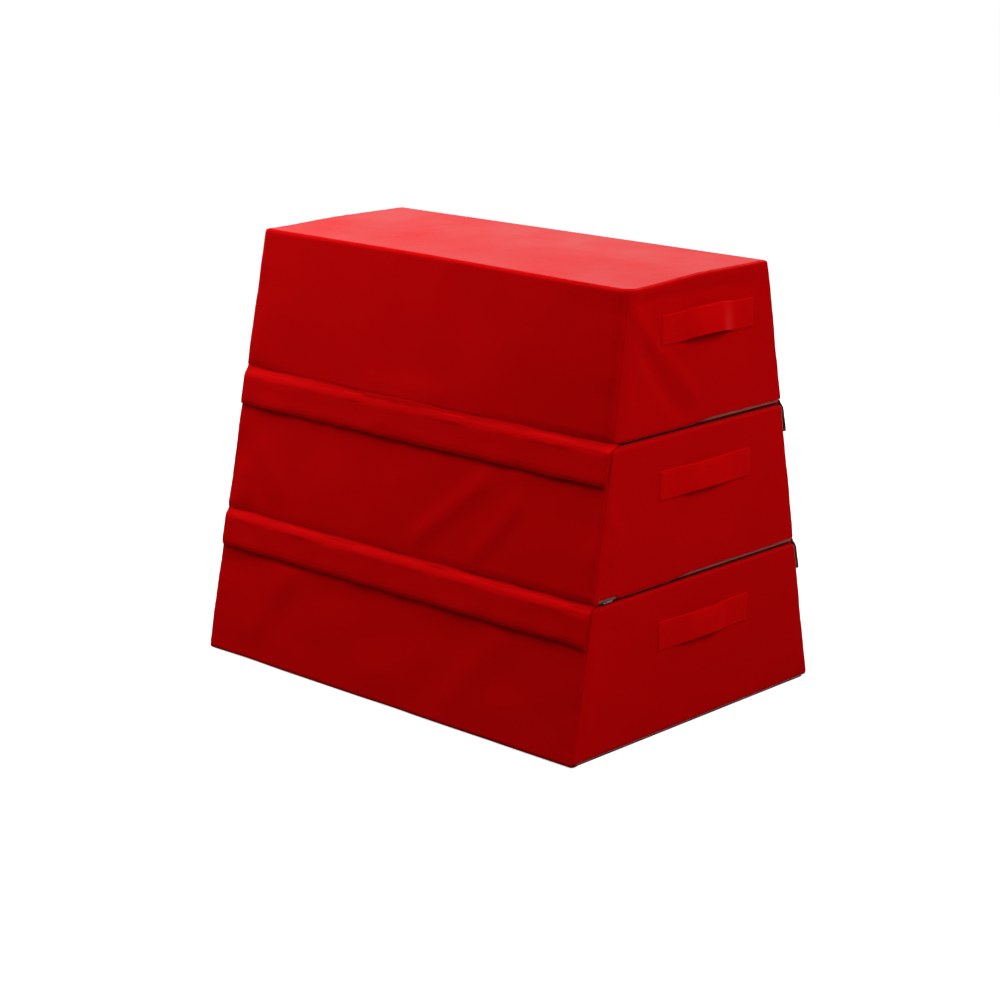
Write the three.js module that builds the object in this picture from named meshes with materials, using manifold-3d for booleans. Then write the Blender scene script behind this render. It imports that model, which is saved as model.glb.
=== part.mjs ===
// Vaulting box of three stacked foam sections with covers, zips, flaps and strap handles.
// Millimetres, Z up. X runs along the box, the front is -Y, the right end is +X,
// and the origin is the middle of the base on the floor.

import * as THREE from 'three';
import { mergeVertices } from 'three/addons/utils/BufferGeometryUtils.js';
import Module from 'manifold-3d';

const wasm = await Module();
wasm.setup();

// Driving dimensions of the whole box
const HEIGHT = 900;
const BASE_LENGTH = 1045;
const TOP_LENGTH = 1015;
const BASE_WIDTH = 750;
const TOP_WIDTH = 410;
const SECTION_NAMES = ['bottom', 'middle', 'top'];

// Room left between pieces that touch, and between stacked sections
const GAP = 0.3;
const SECTION_GAP = 0.6;

// Cover of coated cloth, with its rounded edges
const COVER = 1.2;
const ROUND_TOP = 6;
const ROUND_BOTTOM = 12;
const ROUND_STEPS = 4;

// Foam core: the bevel along its bottom edges that clears the zip
const FOAM_BEVEL = 22;

// Zip round the ends and the rear: it closes a facet that slopes in under the bottom edge
const ZIP_TOP = 15;
const ZIP_FOOT = 1.5;
const ZIP_IN = 7;
const ZIP_TAPE = 1;
const ZIP_SLOT = 1.2;
const COIL_WIDTH = 1.8;
const COIL_OUT = 0.5;
const COIL_BACK = 1.7;
const ZIP_FRONT = 17;
const BASE_UNDER_ZIP = 1;

// Zip slider, its bail, and its pull
const SLIDER_LENGTH = 12;
const SLIDER_WIDTH = 8;
const SLIDER_FRONT = 36;
const SLIDER_ENDS = { bottom: 'left', middle: 'right', top: 'left' };
const SLIDER_PLATE = 1.4;
const SLIDER_BACK_PLATE = 0.8;
const SLIDER_POST = 0.6;
const SLIDER_POST_LENGTH = 5;
const BAIL_WIDTH = 2;
const BAIL_LENGTH = 8;
const BAIL_ROOM = 2.3;
const BAIL_BAR = 1;
const PULL_CLEAR = 0.4;
const PULL_THICKNESS = 1.6;
const PULL_WIDTH = 6.4;
const PULL_LENGTH = 22;
const PULL_EYE_WIDTH = 2.8;
const PULL_EYE_LENGTH = 5.2;

// Flap that joins a section to the one under it, with its hook and loop tapes
const FLAP_DROP = 75;
const FLAP_THICKNESS = 2.4;
const FLAP_END = 3;
const FLAP_BEAD = 3.2;
const FLAP_BEAD_OUT = 3.7;
const FLAP_BEAD_UP = 0.2;
const FLAP_BEAD_STEPS = 14;
const FLAP_OUT = 3.9;
const TAPE_WIDTH = 48;
const TAPE_TOP = 22;
const TAPE_END = 8;
const LOOP_TAPE = 1.4;
const HOOK_TAPE = 1.6;
const SEAM_LIP = 0.2;
const SEAM_DEPTH = 14;

// Strap handle on each end of each section
const HANDLE_RISE = 203;
const HANDLE_ASIDE = 15;
const HANDLE_LENGTH = 280;
const HANDLE_WIDTH = 58;
const HANDLE_THICKNESS = 3;
const HANDLE_TAB = 45;
const HANDLE_BOWS = { bottom: 12, middle: 12, top: 20 };
const HANDLE_CUT = 0.5;
const HANDLE_STEPS = 20;

// Sizes worked out from those above
const SECTION_HEIGHT = HEIGHT / SECTION_NAMES.length;
const END_SLOPE = (BASE_LENGTH - TOP_LENGTH) / 2 / HEIGHT;
const SIDE_SLOPE = (BASE_WIDTH - TOP_WIDTH) / 2 / HEIGHT;
const ZIP_WIDTH = Math.hypot(ZIP_IN, ZIP_TOP - ZIP_FOOT);
const COVER_HEM = ZIP_TOP + ZIP_TAPE;
const SLIDER_FACE = COIL_OUT + GAP + SLIDER_PLATE;
const PIVOT_OUT = SLIDER_FACE + PULL_CLEAR + PULL_THICKNESS / 2;

// Reach of the long prisms that pieces are cut from, and how far such a prism passes an edge
const REACH = BASE_LENGTH;
const PAST = 1;

const halfLength = (z) => BASE_LENGTH / 2 - z * END_SLOPE;
const halfWidth = (z) => BASE_WIDTH / 2 - z * SIDE_SLOPE;

// Materials
const paint = (color, roughness, metalness = 0) =>
  new THREE.MeshStandardMaterial({ color, roughness, metalness });
const MATERIALS = {
  cover: paint(0xb80409, 0.42),
  flap: paint(0xbb0509, 0.4),
  webbing: paint(0xb30408, 0.55),
  foam: paint(0xe4dfc9, 0.95),
  base: paint(0x4a4440, 0.85),
  zipTape: paint(0xa98a7a, 0.8),
  zipMetal: paint(0x9a9a98, 0.35, 0.9),
  hook: paint(0x1c1a1a, 0.8),
  loop: paint(0x262222, 0.95),
};

// Solids and meshes

function toSolid(geometry) {
  const bare = geometry.clone();
  bare.deleteAttribute('normal');
  bare.deleteAttribute('uv');
  const merged = mergeVertices(bare, 1e-4);
  const vertProperties = new Float32Array(merged.attributes.position.array);
  const triVerts = new Uint32Array(merged.index.array);
  return new wasm.Manifold(new wasm.Mesh({ numProp: 3, vertProperties, triVerts }));
}

function toGeometry(solid) {
  const { vertProperties, triVerts } = solid.getMesh();
  const geometry = new THREE.BufferGeometry();
  geometry.setAttribute('position', new THREE.BufferAttribute(vertProperties, 3));
  geometry.setIndex(new THREE.BufferAttribute(triVerts, 1));
  geometry.computeVertexNormals();
  return geometry;
}

function mesh(name, geometry, material) {
  const piece = new THREE.Mesh(geometry, material);
  piece.name = name;
  return piece;
}

const point = (x, y) => new THREE.Vector2(x, y);

// A line moved to its right as it runs, with its corners kept sharp
function offsetLine(points, distance) {
  return points.map((here, i) => {
    const before = points[i - 1];
    const after = points[i + 1];
    const coming = before ? here.clone().sub(before).normalize() : after.clone().sub(here).normalize();
    const going = after ? after.clone().sub(here).normalize() : coming;
    const along = coming.clone().add(going).normalize();
    const mitre = distance / along.dot(coming);
    return here.clone().add(point(along.y, -along.x).multiplyScalar(mitre));
  });
}

function extrude(points, depth) {
  return new THREE.ExtrudeGeometry(new THREE.Shape(points), { depth, bevelEnabled: false });
}

// A profile of (y, z) points, extruded along X from one place to another
function alongX(points, from, to) {
  const basis = new THREE.Matrix4().makeBasis(
    new THREE.Vector3(0, 1, 0),
    new THREE.Vector3(0, 0, 1),
    new THREE.Vector3(1, 0, 0),
  );
  return extrude(points, to - from).applyMatrix4(basis).translate(from, 0, 0);
}

// A profile of (x, z) points, extruded along Y from one place to another
function alongY(points, from, to) {
  const basis = new THREE.Matrix4().makeBasis(
    new THREE.Vector3(1, 0, 0),
    new THREE.Vector3(0, 0, 1),
    new THREE.Vector3(0, -1, 0),
  );
  return extrude(points, to - from).applyMatrix4(basis).translate(0, to, 0);
}

function block(sizes, centre) {
  return new THREE.BoxGeometry(...sizes).translate(...centre);
}

// Outlines of a section

// The skin from the front bottom edge, over the top, and down the rear to a height above the bottom
function skinAcross(bottom, top, rearFoot) {
  const line = new THREE.Path();
  line.moveTo(ROUND_BOTTOM - halfWidth(bottom), bottom);
  line.quadraticCurveTo(
    -halfWidth(bottom), bottom,
    -halfWidth(bottom + ROUND_BOTTOM), bottom + ROUND_BOTTOM,
  );
  line.lineTo(-halfWidth(top - ROUND_TOP), top - ROUND_TOP);
  line.quadraticCurveTo(-halfWidth(top), top, ROUND_TOP - halfWidth(top), top);
  line.lineTo(halfWidth(top) - ROUND_TOP, top);
  line.quadraticCurveTo(halfWidth(top), top, halfWidth(top - ROUND_TOP), top - ROUND_TOP);
  line.lineTo(halfWidth(bottom + rearFoot), bottom + rearFoot);
  return line.getPoints(ROUND_STEPS);
}

// The filled cross-section inside the cover
function coreAcross(bottom, top) {
  const inside = offsetLine(skinAcross(bottom, top, FOAM_BEVEL), COVER + GAP);
  return [...inside, point(halfWidth(bottom) - FOAM_BEVEL, bottom + COVER + GAP)];
}

// The filled lengthwise section inside the cover
function coreAlong(bottom, top) {
  const inset = COVER + GAP;
  return [
    point(halfLength(bottom) - FOAM_BEVEL, bottom + inset),
    point(halfLength(bottom + FOAM_BEVEL) - inset, bottom + FOAM_BEVEL),
    point(halfLength(top) - inset, top - inset),
    point(inset - halfLength(top), top - inset),
    point(inset - halfLength(bottom + FOAM_BEVEL), bottom + FOAM_BEVEL),
    point(FOAM_BEVEL - halfLength(bottom), bottom + inset),
  ];
}

// The outer lengthwise section, a little taller than the section
function outerAlong(bottom, top) {
  return [
    point(halfLength(bottom - PAST), bottom - PAST),
    point(halfLength(top + PAST), top + PAST),
    point(-halfLength(top + PAST), top + PAST),
    point(-halfLength(bottom - PAST), bottom - PAST),
  ];
}

// Foam core

function foamCore(name, bottom, top) {
  const across = toSolid(alongX(coreAcross(bottom, top), -REACH, REACH));
  const along = toSolid(alongY(coreAlong(bottom, top), -REACH, REACH));
  return mesh(`${name}_foam_core`, toGeometry(across.intersect(along)), MATERIALS.foam);
}

// Cover: the long sheet over front, top and rear, the end panels, and the base cloth

function coverWrap(name, bottom, top, hasFlaps) {
  const outside = skinAcross(bottom, top, COVER_HEM);
  const inside = offsetLine(outside, COVER);
  const sheet = toSolid(alongX([...outside, ...inside.reverse()], -REACH, REACH));
  const trimmed = sheet.intersect(toSolid(alongY(outerAlong(bottom, top), -REACH, REACH)));
  if (!hasFlaps) {
    return mesh(`${name}_cover_wrap`, toGeometry(trimmed), MATERIALS.cover);
  }
  // The seam lip along the front bottom edge carries the front flap
  const from = -halfWidth(bottom) - SEAM_LIP;
  const to = SEAM_DEPTH - halfWidth(bottom);
  const length = 2 * (halfLength(bottom) - FLAP_END);
  const lip = block([length, to - from, COVER], [0, (from + to) / 2, bottom + COVER / 2]);
  return mesh(`${name}_cover_wrap`, toGeometry(trimmed.add(toSolid(lip))), MATERIALS.cover);
}

function endPanel(name, bottom, top, side) {
  const strip = [
    point(side * halfLength(bottom), bottom),
    point(side * halfLength(top), top),
    point(side * (halfLength(top) - COVER), top),
    point(side * (halfLength(bottom) - COVER), bottom),
  ];
  // The panel keeps inside the wrap, and leaves the zip's run open but for a leg at the front corner
  const inside = offsetLine(skinAcross(bottom, top, COVER_HEM), COVER + GAP);
  const legRear = ZIP_FRONT - GAP - halfWidth(bottom);
  const outline = [
    ...inside,
    point(legRear, inside.at(-1).y),
    point(legRear, bottom + COVER + GAP),
  ];
  const plate = toSolid(alongY(strip, -REACH, REACH));
  const panel = plate.intersect(toSolid(alongX(outline, -REACH, REACH)));
  const end = side > 0 ? 'right' : 'left';
  return mesh(`${name}_end_panel_${end}`, toGeometry(panel), MATERIALS.cover);
}

function baseCloth(name, bottom, hasFlaps) {
  const inset = ZIP_IN - BASE_UNDER_ZIP;
  const length = 2 * (halfLength(bottom + ZIP_TOP) - inset);
  const from = (hasFlaps ? SEAM_DEPTH : ROUND_BOTTOM) + GAP - halfWidth(bottom);
  const to = hasFlaps ? halfWidth(bottom) + SEAM_LIP : halfWidth(bottom + ZIP_TOP) - inset;
  const cloth = block([length, to - from, COVER], [0, (from + to) / 2, bottom + COVER / 2]);
  return mesh(`${name}_base_cloth`, cloth, MATERIALS.base);
}

// Zip

// A place on the zip facet: how far down it, and how far out of it, as (inward, up) from its top
function onFacet(down, out) {
  const inward = ZIP_IN / ZIP_WIDTH;
  const drop = (ZIP_TOP - ZIP_FOOT) / ZIP_WIDTH;
  return point(down * inward - out * drop, -down * drop - out * inward);
}

// One half of the zip as a run along the right end, the rear and the left end
function zipHalf(name, bottom, isUpper) {
  const middle = ZIP_WIDTH / 2;
  const side = isUpper ? -1 : 1;
  const coilEdge = middle + side * ZIP_SLOT / 2;
  const coilBack = coilEdge + side * COIL_WIDTH;
  const tapeEdge = middle + side * (middle - GAP);
  const profile = [
    onFacet(tapeEdge, 0),
    onFacet(coilBack, 0),
    onFacet(coilBack, COIL_OUT),
    onFacet(coilEdge, COIL_OUT),
    onFacet(coilEdge, -COIL_BACK),
    onFacet(coilBack, -COIL_BACK),
    onFacet(coilBack, -ZIP_TAPE),
    onFacet(tapeEdge, -ZIP_TAPE),
  ];
  if (!isUpper) {
    profile.reverse();
  }
  const endX = halfLength(bottom + ZIP_TOP);
  const rearY = halfWidth(bottom + ZIP_TOP);
  const frontY = ZIP_FRONT - halfWidth(bottom);
  const stations = [
    ({ x }) => [endX - x, frontY],
    ({ x }) => [endX - x, rearY - x],
    ({ x }) => [x - endX, rearY - x],
    ({ x }) => [x - endX, frontY],
  ];
  const positions = stations.flatMap((place) =>
    profile.flatMap((spot) => [...place(spot), bottom + ZIP_TOP + spot.y]));
  const geometry = new THREE.BufferGeometry();
  geometry.setAttribute('position', new THREE.Float32BufferAttribute(positions, 3));
  geometry.setIndex(tubeFaces(profile, stations.length));
  geometry.computeVertexNormals();
  const half = isUpper ? 'cover' : 'base';
  return mesh(`${name}_zip_${half}_half`, geometry, MATERIALS.zipTape);
}

// Faces of a closed tube: its walls between stations, and a cap at each end
function tubeFaces(profile, stationCount) {
  const size = profile.length;
  const faces = [];
  for (let station = 0; station < stationCount - 1; station += 1) {
    for (let i = 0; i < size; i += 1) {
      const a = station * size + i;
      const b = station * size + (i + 1) % size;
      faces.push([a, b, b + size], [a, b + size, a + size]);
    }
  }
  const last = (stationCount - 1) * size;
  for (const [a, b, c] of THREE.ShapeUtils.triangulateShape(profile, [])) {
    faces.push([c, b, a], [a + last, b + last, c + last]);
  }
  return faces.flat();
}

// Pieces placed for the right end, turned half round for the left one
function onEnd(end, ...pieces) {
  const facing = new THREE.Group();
  facing.rotation.z = end === 'right' ? 0 : Math.PI;
  facing.add(...pieces);
  return facing;
}

// Turns a piece so that its X runs down an end's facet, its Y along the zip and its Z out
function placeOnZip(piece, name, bottom) {
  const end = SLIDER_ENDS[name];
  piece.position.set(
    halfLength(bottom + ZIP_TOP),
    rearward(end) * (SLIDER_FRONT - halfWidth(bottom)),
    bottom + ZIP_TOP,
  );
  piece.rotation.y = Math.atan2(ZIP_TOP - ZIP_FOOT, -ZIP_IN);
  return onEnd(end, piece);
}

// Which way along Y the box's rear lies, for pieces placed by onEnd
const rearward = (end) => (end === 'right' ? 1 : -1);

function zipSlider(name, bottom) {
  const middle = ZIP_WIDTH / 2;
  const backOut = -COIL_BACK - GAP;
  const outerPlate = block(
    [SLIDER_WIDTH, SLIDER_LENGTH, SLIDER_PLATE],
    [middle, 0, SLIDER_FACE - SLIDER_PLATE / 2],
  );
  const backPlate = block(
    [SLIDER_WIDTH - 1, SLIDER_LENGTH - 1, SLIDER_BACK_PLATE],
    [middle, 0, backOut - SLIDER_BACK_PLATE / 2],
  );
  const postTop = SLIDER_FACE - SLIDER_PLATE / 2;
  const postFoot = backOut - SLIDER_BACK_PLATE / 2;
  const post = block(
    [SLIDER_POST, SLIDER_POST_LENGTH, postTop - postFoot],
    [middle, 0, (postTop + postFoot) / 2],
  );
  const bailTop = SLIDER_FACE + BAIL_ROOM + BAIL_BAR;
  const bailFoot = SLIDER_FACE - SLIDER_PLATE / 2;
  const bail = toSolid(block(
    [BAIL_WIDTH, BAIL_LENGTH, bailTop - bailFoot],
    [middle, 0, (bailTop + bailFoot) / 2],
  )).subtract(toSolid(block(
    [BAIL_WIDTH * 2, BAIL_LENGTH - 2 * BAIL_BAR, BAIL_ROOM],
    [middle, 0, SLIDER_FACE + BAIL_ROOM / 2],
  )));
  const slider = toSolid(outerPlate).add(toSolid(backPlate)).add(toSolid(post)).add(bail);
  return placeOnZip(mesh(`${name}_zip_slider`, toGeometry(slider), MATERIALS.zipMetal), name, bottom);
}

// The pull hangs on a round bar through the bail and lies along the zip towards the rear
function zipPull(name, bottom) {
  const middle = ZIP_WIDTH / 2;
  const reach = rearward(SLIDER_ENDS[name]);
  const bar = new THREE.CylinderGeometry(PULL_THICKNESS / 2, PULL_THICKNESS / 2, PULL_WIDTH, 16);
  bar.rotateZ(Math.PI / 2).translate(middle, 0, PIVOT_OUT);
  const plate = toSolid(block(
    [PULL_WIDTH, PULL_LENGTH, PULL_THICKNESS],
    [middle, reach * PULL_LENGTH / 2, PIVOT_OUT],
  ));
  const eye = toSolid(block(
    [PULL_EYE_WIDTH, PULL_EYE_LENGTH, PULL_THICKNESS * 2],
    [middle, reach * PULL_EYE_LENGTH / 2, PIVOT_OUT],
  ));
  const pull = plate.subtract(eye).add(toSolid(bar));
  return placeOnZip(mesh(`${name}_zip_pull`, toGeometry(pull), MATERIALS.zipMetal), name, bottom);
}

// Flaps and their tapes

// A place on a long face: how far out of its skin and how far down it from a height
function onFace(side, height, out, down) {
  const slant = Math.hypot(1, SIDE_SLOPE);
  return point(
    side * (halfWidth(height) + (out + down * SIDE_SLOPE) / slant),
    height + (out * SIDE_SLOPE - down) / slant,
  );
}

function flap(name, bottom, side) {
  const bead = [];
  const outer = Math.acos((FLAP_OUT + FLAP_THICKNESS - FLAP_BEAD_OUT) / FLAP_BEAD);
  const inner = Math.acos((FLAP_OUT - FLAP_BEAD_OUT) / FLAP_BEAD) - 2 * Math.PI;
  for (let i = 0; i <= FLAP_BEAD_STEPS; i += 1) {
    const turn = outer + (inner - outer) * i / FLAP_BEAD_STEPS;
    bead.push(onFace(
      side,
      bottom,
      FLAP_BEAD_OUT + FLAP_BEAD * Math.cos(turn),
      FLAP_BEAD * Math.sin(turn) - FLAP_BEAD_UP,
    ));
  }
  const rounding = FLAP_THICKNESS / 3;
  const profile = [
    ...bead,
    onFace(side, bottom, FLAP_OUT, FLAP_DROP - rounding),
    onFace(side, bottom, FLAP_OUT + rounding, FLAP_DROP),
    onFace(side, bottom, FLAP_OUT + 2 * rounding, FLAP_DROP),
    onFace(side, bottom, FLAP_OUT + FLAP_THICKNESS, FLAP_DROP - rounding),
  ];
  const reach = halfLength(bottom) - FLAP_END;
  return mesh(`${name}_flap_${faceName(side)}`, alongX(profile, -reach, reach), MATERIALS.flap);
}

// A flat tape on a long face between two distances out of its skin
function tape(name, bottom, side, from, to, material) {
  const profile = [
    onFace(side, bottom, from, TAPE_TOP),
    onFace(side, bottom, to, TAPE_TOP),
    onFace(side, bottom, to, TAPE_TOP + TAPE_WIDTH),
    onFace(side, bottom, from, TAPE_TOP + TAPE_WIDTH),
  ];
  const reach = halfLength(bottom) - TAPE_END;
  return mesh(`${name}_${faceName(side)}`, alongX(profile, -reach, reach), material);
}

function faceName(side) {
  return side < 0 ? 'front' : 'rear';
}

function flapWithTapes(name, below, bottom, side) {
  const hookFrom = FLAP_OUT - GAP - HOOK_TAPE;
  return [
    flap(name, bottom, side),
    tape(`${name}_hook_tape`, bottom, side, hookFrom, FLAP_OUT - GAP, MATERIALS.hook),
    tape(`${below}_loop_tape`, bottom, side, GAP, GAP + LOOP_TAPE, MATERIALS.loop),
  ];
}

// Handles

// The loose middle of the strap bows out of the end face between its two sewn tabs
function strap(name, depth) {
  const half = HANDLE_LENGTH / 2 - HANDLE_TAB - HANDLE_CUT;
  const under = [];
  const over = [];
  for (let i = 0; i <= HANDLE_STEPS; i += 1) {
    const y = half * (2 * i / HANDLE_STEPS - 1);
    const bow = depth * (1 + Math.cos(Math.PI * y / half)) / 2;
    under.push(point(GAP + bow, y));
    over.push(point(GAP + bow + HANDLE_THICKNESS, y));
  }
  const geometry = extrude([...under, ...over.reverse()], HANDLE_WIDTH);
  return mesh(name, geometry.translate(0, 0, -HANDLE_WIDTH / 2), MATERIALS.webbing);
}

function tab(name, side) {
  const geometry = block(
    [HANDLE_THICKNESS, HANDLE_TAB, HANDLE_WIDTH],
    [GAP + HANDLE_THICKNESS / 2, side * (HANDLE_LENGTH - HANDLE_TAB) / 2, 0],
  );
  return mesh(name, geometry, MATERIALS.webbing);
}

function handle(name, bottom, end) {
  const height = bottom + HANDLE_RISE;
  const whole = new THREE.Group();
  whole.position.set(halfLength(height), HANDLE_ASIDE, height);
  whole.rotation.y = -Math.atan(END_SLOPE);
  whole.add(
    strap(`${name}_handle_strap_${end}`, HANDLE_BOWS[name]),
    tab(`${name}_handle_tab_${end}_front`, -rearward(end)),
    tab(`${name}_handle_tab_${end}_rear`, rearward(end)),
  );
  return onEnd(end, whole);
}

// The whole box

function section(name, index) {
  const hasFlaps = index > 0;
  const bottom = index * SECTION_HEIGHT + (hasFlaps ? SECTION_GAP : 0);
  const top = (index + 1) * SECTION_HEIGHT;
  const group = new THREE.Group();
  group.add(
    foamCore(name, bottom, top),
    coverWrap(name, bottom, top, hasFlaps),
    endPanel(name, bottom, top, -1),
    endPanel(name, bottom, top, 1),
    baseCloth(name, bottom, hasFlaps),
    zipHalf(name, bottom, true),
    zipHalf(name, bottom, false),
    zipSlider(name, bottom),
    zipPull(name, bottom),
    handle(name, bottom, 'left'),
    handle(name, bottom, 'right'),
  );
  if (hasFlaps) {
    const below = SECTION_NAMES[index - 1];
    group.add(...flapWithTapes(name, below, bottom, -1), ...flapWithTapes(name, below, bottom, 1));
  }
  return group;
}

const vaultingBox = new THREE.Group();
SECTION_NAMES.forEach((name, index) => vaultingBox.add(section(name, index)));

export default vaultingBox;
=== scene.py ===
"""Vaulting box of three stacked foam sections in red coated cloth.

Each section is a foam block in a sewn cover with a zip, a strap handle on each end, and a flap
along each long bottom edge that holds it to the section under it. Sizes are in metres, Z is up,
X runs along the box to its right end, and the front faces -Y.
"""

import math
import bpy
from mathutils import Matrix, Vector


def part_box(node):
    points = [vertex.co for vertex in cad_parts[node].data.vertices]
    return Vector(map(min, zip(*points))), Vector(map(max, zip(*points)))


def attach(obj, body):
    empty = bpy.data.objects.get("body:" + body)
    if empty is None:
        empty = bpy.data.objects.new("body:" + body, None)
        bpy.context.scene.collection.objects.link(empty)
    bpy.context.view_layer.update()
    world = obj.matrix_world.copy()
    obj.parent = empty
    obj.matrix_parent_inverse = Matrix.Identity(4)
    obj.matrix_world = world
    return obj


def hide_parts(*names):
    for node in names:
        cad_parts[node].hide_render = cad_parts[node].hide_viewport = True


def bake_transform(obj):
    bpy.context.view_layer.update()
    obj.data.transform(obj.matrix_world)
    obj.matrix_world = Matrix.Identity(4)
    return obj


bl_info = {
    "name": "Vaulting box",
    "version": (1, 0, 0),
    "blender": (4, 5, 0),
    "location": "3D View > Sidebar > Vaulting box",
    "description": "Builds a soft vaulting box of three foam sections around its packed model",
    "category": "Object",
}

import bpy
import numpy as np
from bpy.props import FloatProperty, FloatVectorProperty, PointerProperty
from mathutils import Matrix, Vector

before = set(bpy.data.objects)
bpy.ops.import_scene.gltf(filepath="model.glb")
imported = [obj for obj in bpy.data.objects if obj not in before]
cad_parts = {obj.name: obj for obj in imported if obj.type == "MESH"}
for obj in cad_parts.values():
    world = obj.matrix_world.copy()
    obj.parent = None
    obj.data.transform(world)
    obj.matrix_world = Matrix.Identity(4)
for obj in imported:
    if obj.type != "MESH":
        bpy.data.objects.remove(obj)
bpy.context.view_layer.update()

MM = 0.001
SECTIONS = ("bottom", "middle", "top")
ENDS = {"left": -1, "right": 1}
FACES = {"front": -1, "rear": 1}


# The box's outline, read from the frame

def low(node):
    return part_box(node)[0]


def high(node):
    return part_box(node)[1]


SEAM_LIP = 0.2 * MM
FOOT = {name: low(f"{name}_cover_wrap").z for name in SECTIONS}
CREST = {name: high(f"{name}_cover_wrap").z for name in SECTIONS}
BASE_HALF_LENGTH = high("bottom_cover_wrap").x
END_SLOPE = (BASE_HALF_LENGTH - high("top_cover_wrap").x) / FOOT["top"]
SIDE_SLOPE = (high("middle_base_cloth").y - high("top_base_cloth").y) / (FOOT["top"] - FOOT["middle"])
BASE_HALF_WIDTH = high("middle_base_cloth").y - SEAM_LIP + FOOT["middle"] * SIDE_SLOPE
SLANT = math.hypot(1, SIDE_SLOPE)


def half_length(z):
    return BASE_HALF_LENGTH - z * END_SLOPE


def half_width(z):
    return BASE_HALF_WIDTH - z * SIDE_SLOPE


# Cover: thickness of the cloth, its raised sole over a flap, and the width and depth of a seam's tuck
CLOTH = 0.9 * MM
LIP = 1.2 * MM
SEAM_TUCK = 2.4 * MM
# Hems over the zip: of the wrap at the rear, of the end panels, and of these where a slider stands
HEM_UP = 15.6 * MM
PANEL_HEM = 11.5 * MM
SLIDER_HEM = 12.6 * MM
HEM_STITCH = 9 * MM
# How far from its corners an end panel reaches right down, and the radius that its foot turns under with
LEG = 16 * MM
TURN_UNDER = 12 * MM
# How strong the painted shade along the cloth's foot is, and how far up it goes
FOOT_SHADE_SHARE = 0.82
FOOT_SHADE_HEIGHT = 10.5 * MM

# Zip facet: its top edge above the foot, its foot, how far it goes in, and its radius at the rear corners
ZIP_TOP = 15 * MM
ZIP_FOOT = 1.5 * MM
ZIP_IN = 7 * MM
ZIP_TURN = 9 * MM
ZIP_WIDTH = math.hypot(ZIP_IN, ZIP_TOP - ZIP_FOOT)
ZIP_FRONT = 17 * MM
FACET_IN = ZIP_IN / ZIP_WIDTH
FACET_DOWN = (ZIP_TOP - ZIP_FOOT) / ZIP_WIDTH

# Flap, measured out of the long face and down it
FLAP_DROP = 75 * MM
FLAP_OUT = 3.9 * MM
FLAP_THICKNESS = 2.4 * MM
ROLL_UP = 6.3 * MM
ROLL_DOWN = 18 * MM
ROLL_SWELL = 0.5 * MM

# Hook and loop tapes: where they start and stop down the face, and how far their ends stay in
TAPE_TOP = 22
TAPE_FOOT = 70
TAPE_IN = 5 * MM

# Handle strap, its length sewn down at each end, and its gap to the cover
HANDLE_TAB = 45 * MM
HANDLE_OUT = 0.3 * MM
STRAP_THICKNESS = 3 * MM

# Thread: gap between stitches, and its radius in a handle and in a flap
STITCH_GAP = 1.2 * MM
STRAP_THREAD = 0.32 * MM
FLAP_THREAD = 0.3 * MM


# Numbers along lines and smooth steps

def smooth(value, start, end):
    """0 before start, 1 after end, and a smooth rise between them."""
    t = np.clip((value - start) / (end - start), 0, 1)
    return t * t * (3 - 2 * t)


def window(value, start, end, fade):
    """1 between start and end, fading out smoothly on both sides."""
    return smooth(value, start - fade, start) * (1 - smooth(value, end, end + fade))


def ripples(u, v, seed, longest, shortest, count=9):
    """Seeded smooth waves of height about one over two coordinates."""
    rng = np.random.default_rng(seed)
    total = np.zeros(np.broadcast(u, v).shape)
    for _ in range(count):
        length = shortest * (longest / shortest) ** rng.random()
        heading, phase = rng.random(2) * 2 * math.pi
        total += np.sin((u * math.cos(heading) + v * math.sin(heading)) * 2 * math.pi / length + phase)
    return total / math.sqrt(count)


def spread(fine, length, step):
    """Distances from 0 to length: the fine ones at both ends, and even steps between them."""
    fine = np.array(fine)
    count = max(2, round((length - 2 * fine[-1]) / step))
    middle = np.linspace(fine[-1], length - fine[-1], count + 1)[1:-1]
    return np.concatenate([fine, middle, (length - fine)[::-1]])


def curve_through(points, steps):
    """A smooth line through the given points, with so many steps between each two."""
    points = np.array(points, float)
    padded = np.vstack([2 * points[0] - points[1], points, 2 * points[-1] - points[-2]])
    line = []
    for p0, p1, p2, p3 in zip(padded, padded[1:], padded[2:], padded[3:]):
        for t in np.arange(steps) / steps:
            line.append(0.5 * (2 * p1 + (p2 - p0) * t + (2 * p0 - 5 * p1 + 4 * p2 - p3) * t ** 2
                               + (3 * p1 - p0 - 3 * p2 + p3) * t ** 3))
    line.append(points[-1])
    return np.array(line)


# Meshes

def grid_faces(rows, columns, closed=False):
    """Four-sided faces of a grid. closed joins its last column to its first."""
    across = columns if closed else columns - 1
    r, c = np.meshgrid(np.arange(rows - 1), np.arange(across), indexing="ij")
    here, beside = r * columns + c, r * columns + (c + 1) % columns
    return np.stack([here, beside, beside + columns, here + columns], -1).reshape(-1, 4)


def tube(rings):
    """Points and faces of closed rings of points, with a cap at each end."""
    rows, columns = rings.shape[:2]
    faces = grid_faces(rows, columns, closed=True).tolist()
    last = (rows - 1) * columns
    faces.append(list(range(columns))[::-1])
    faces.append([last + i for i in range(columns)])
    return rings.reshape(-1, 3), faces


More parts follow.
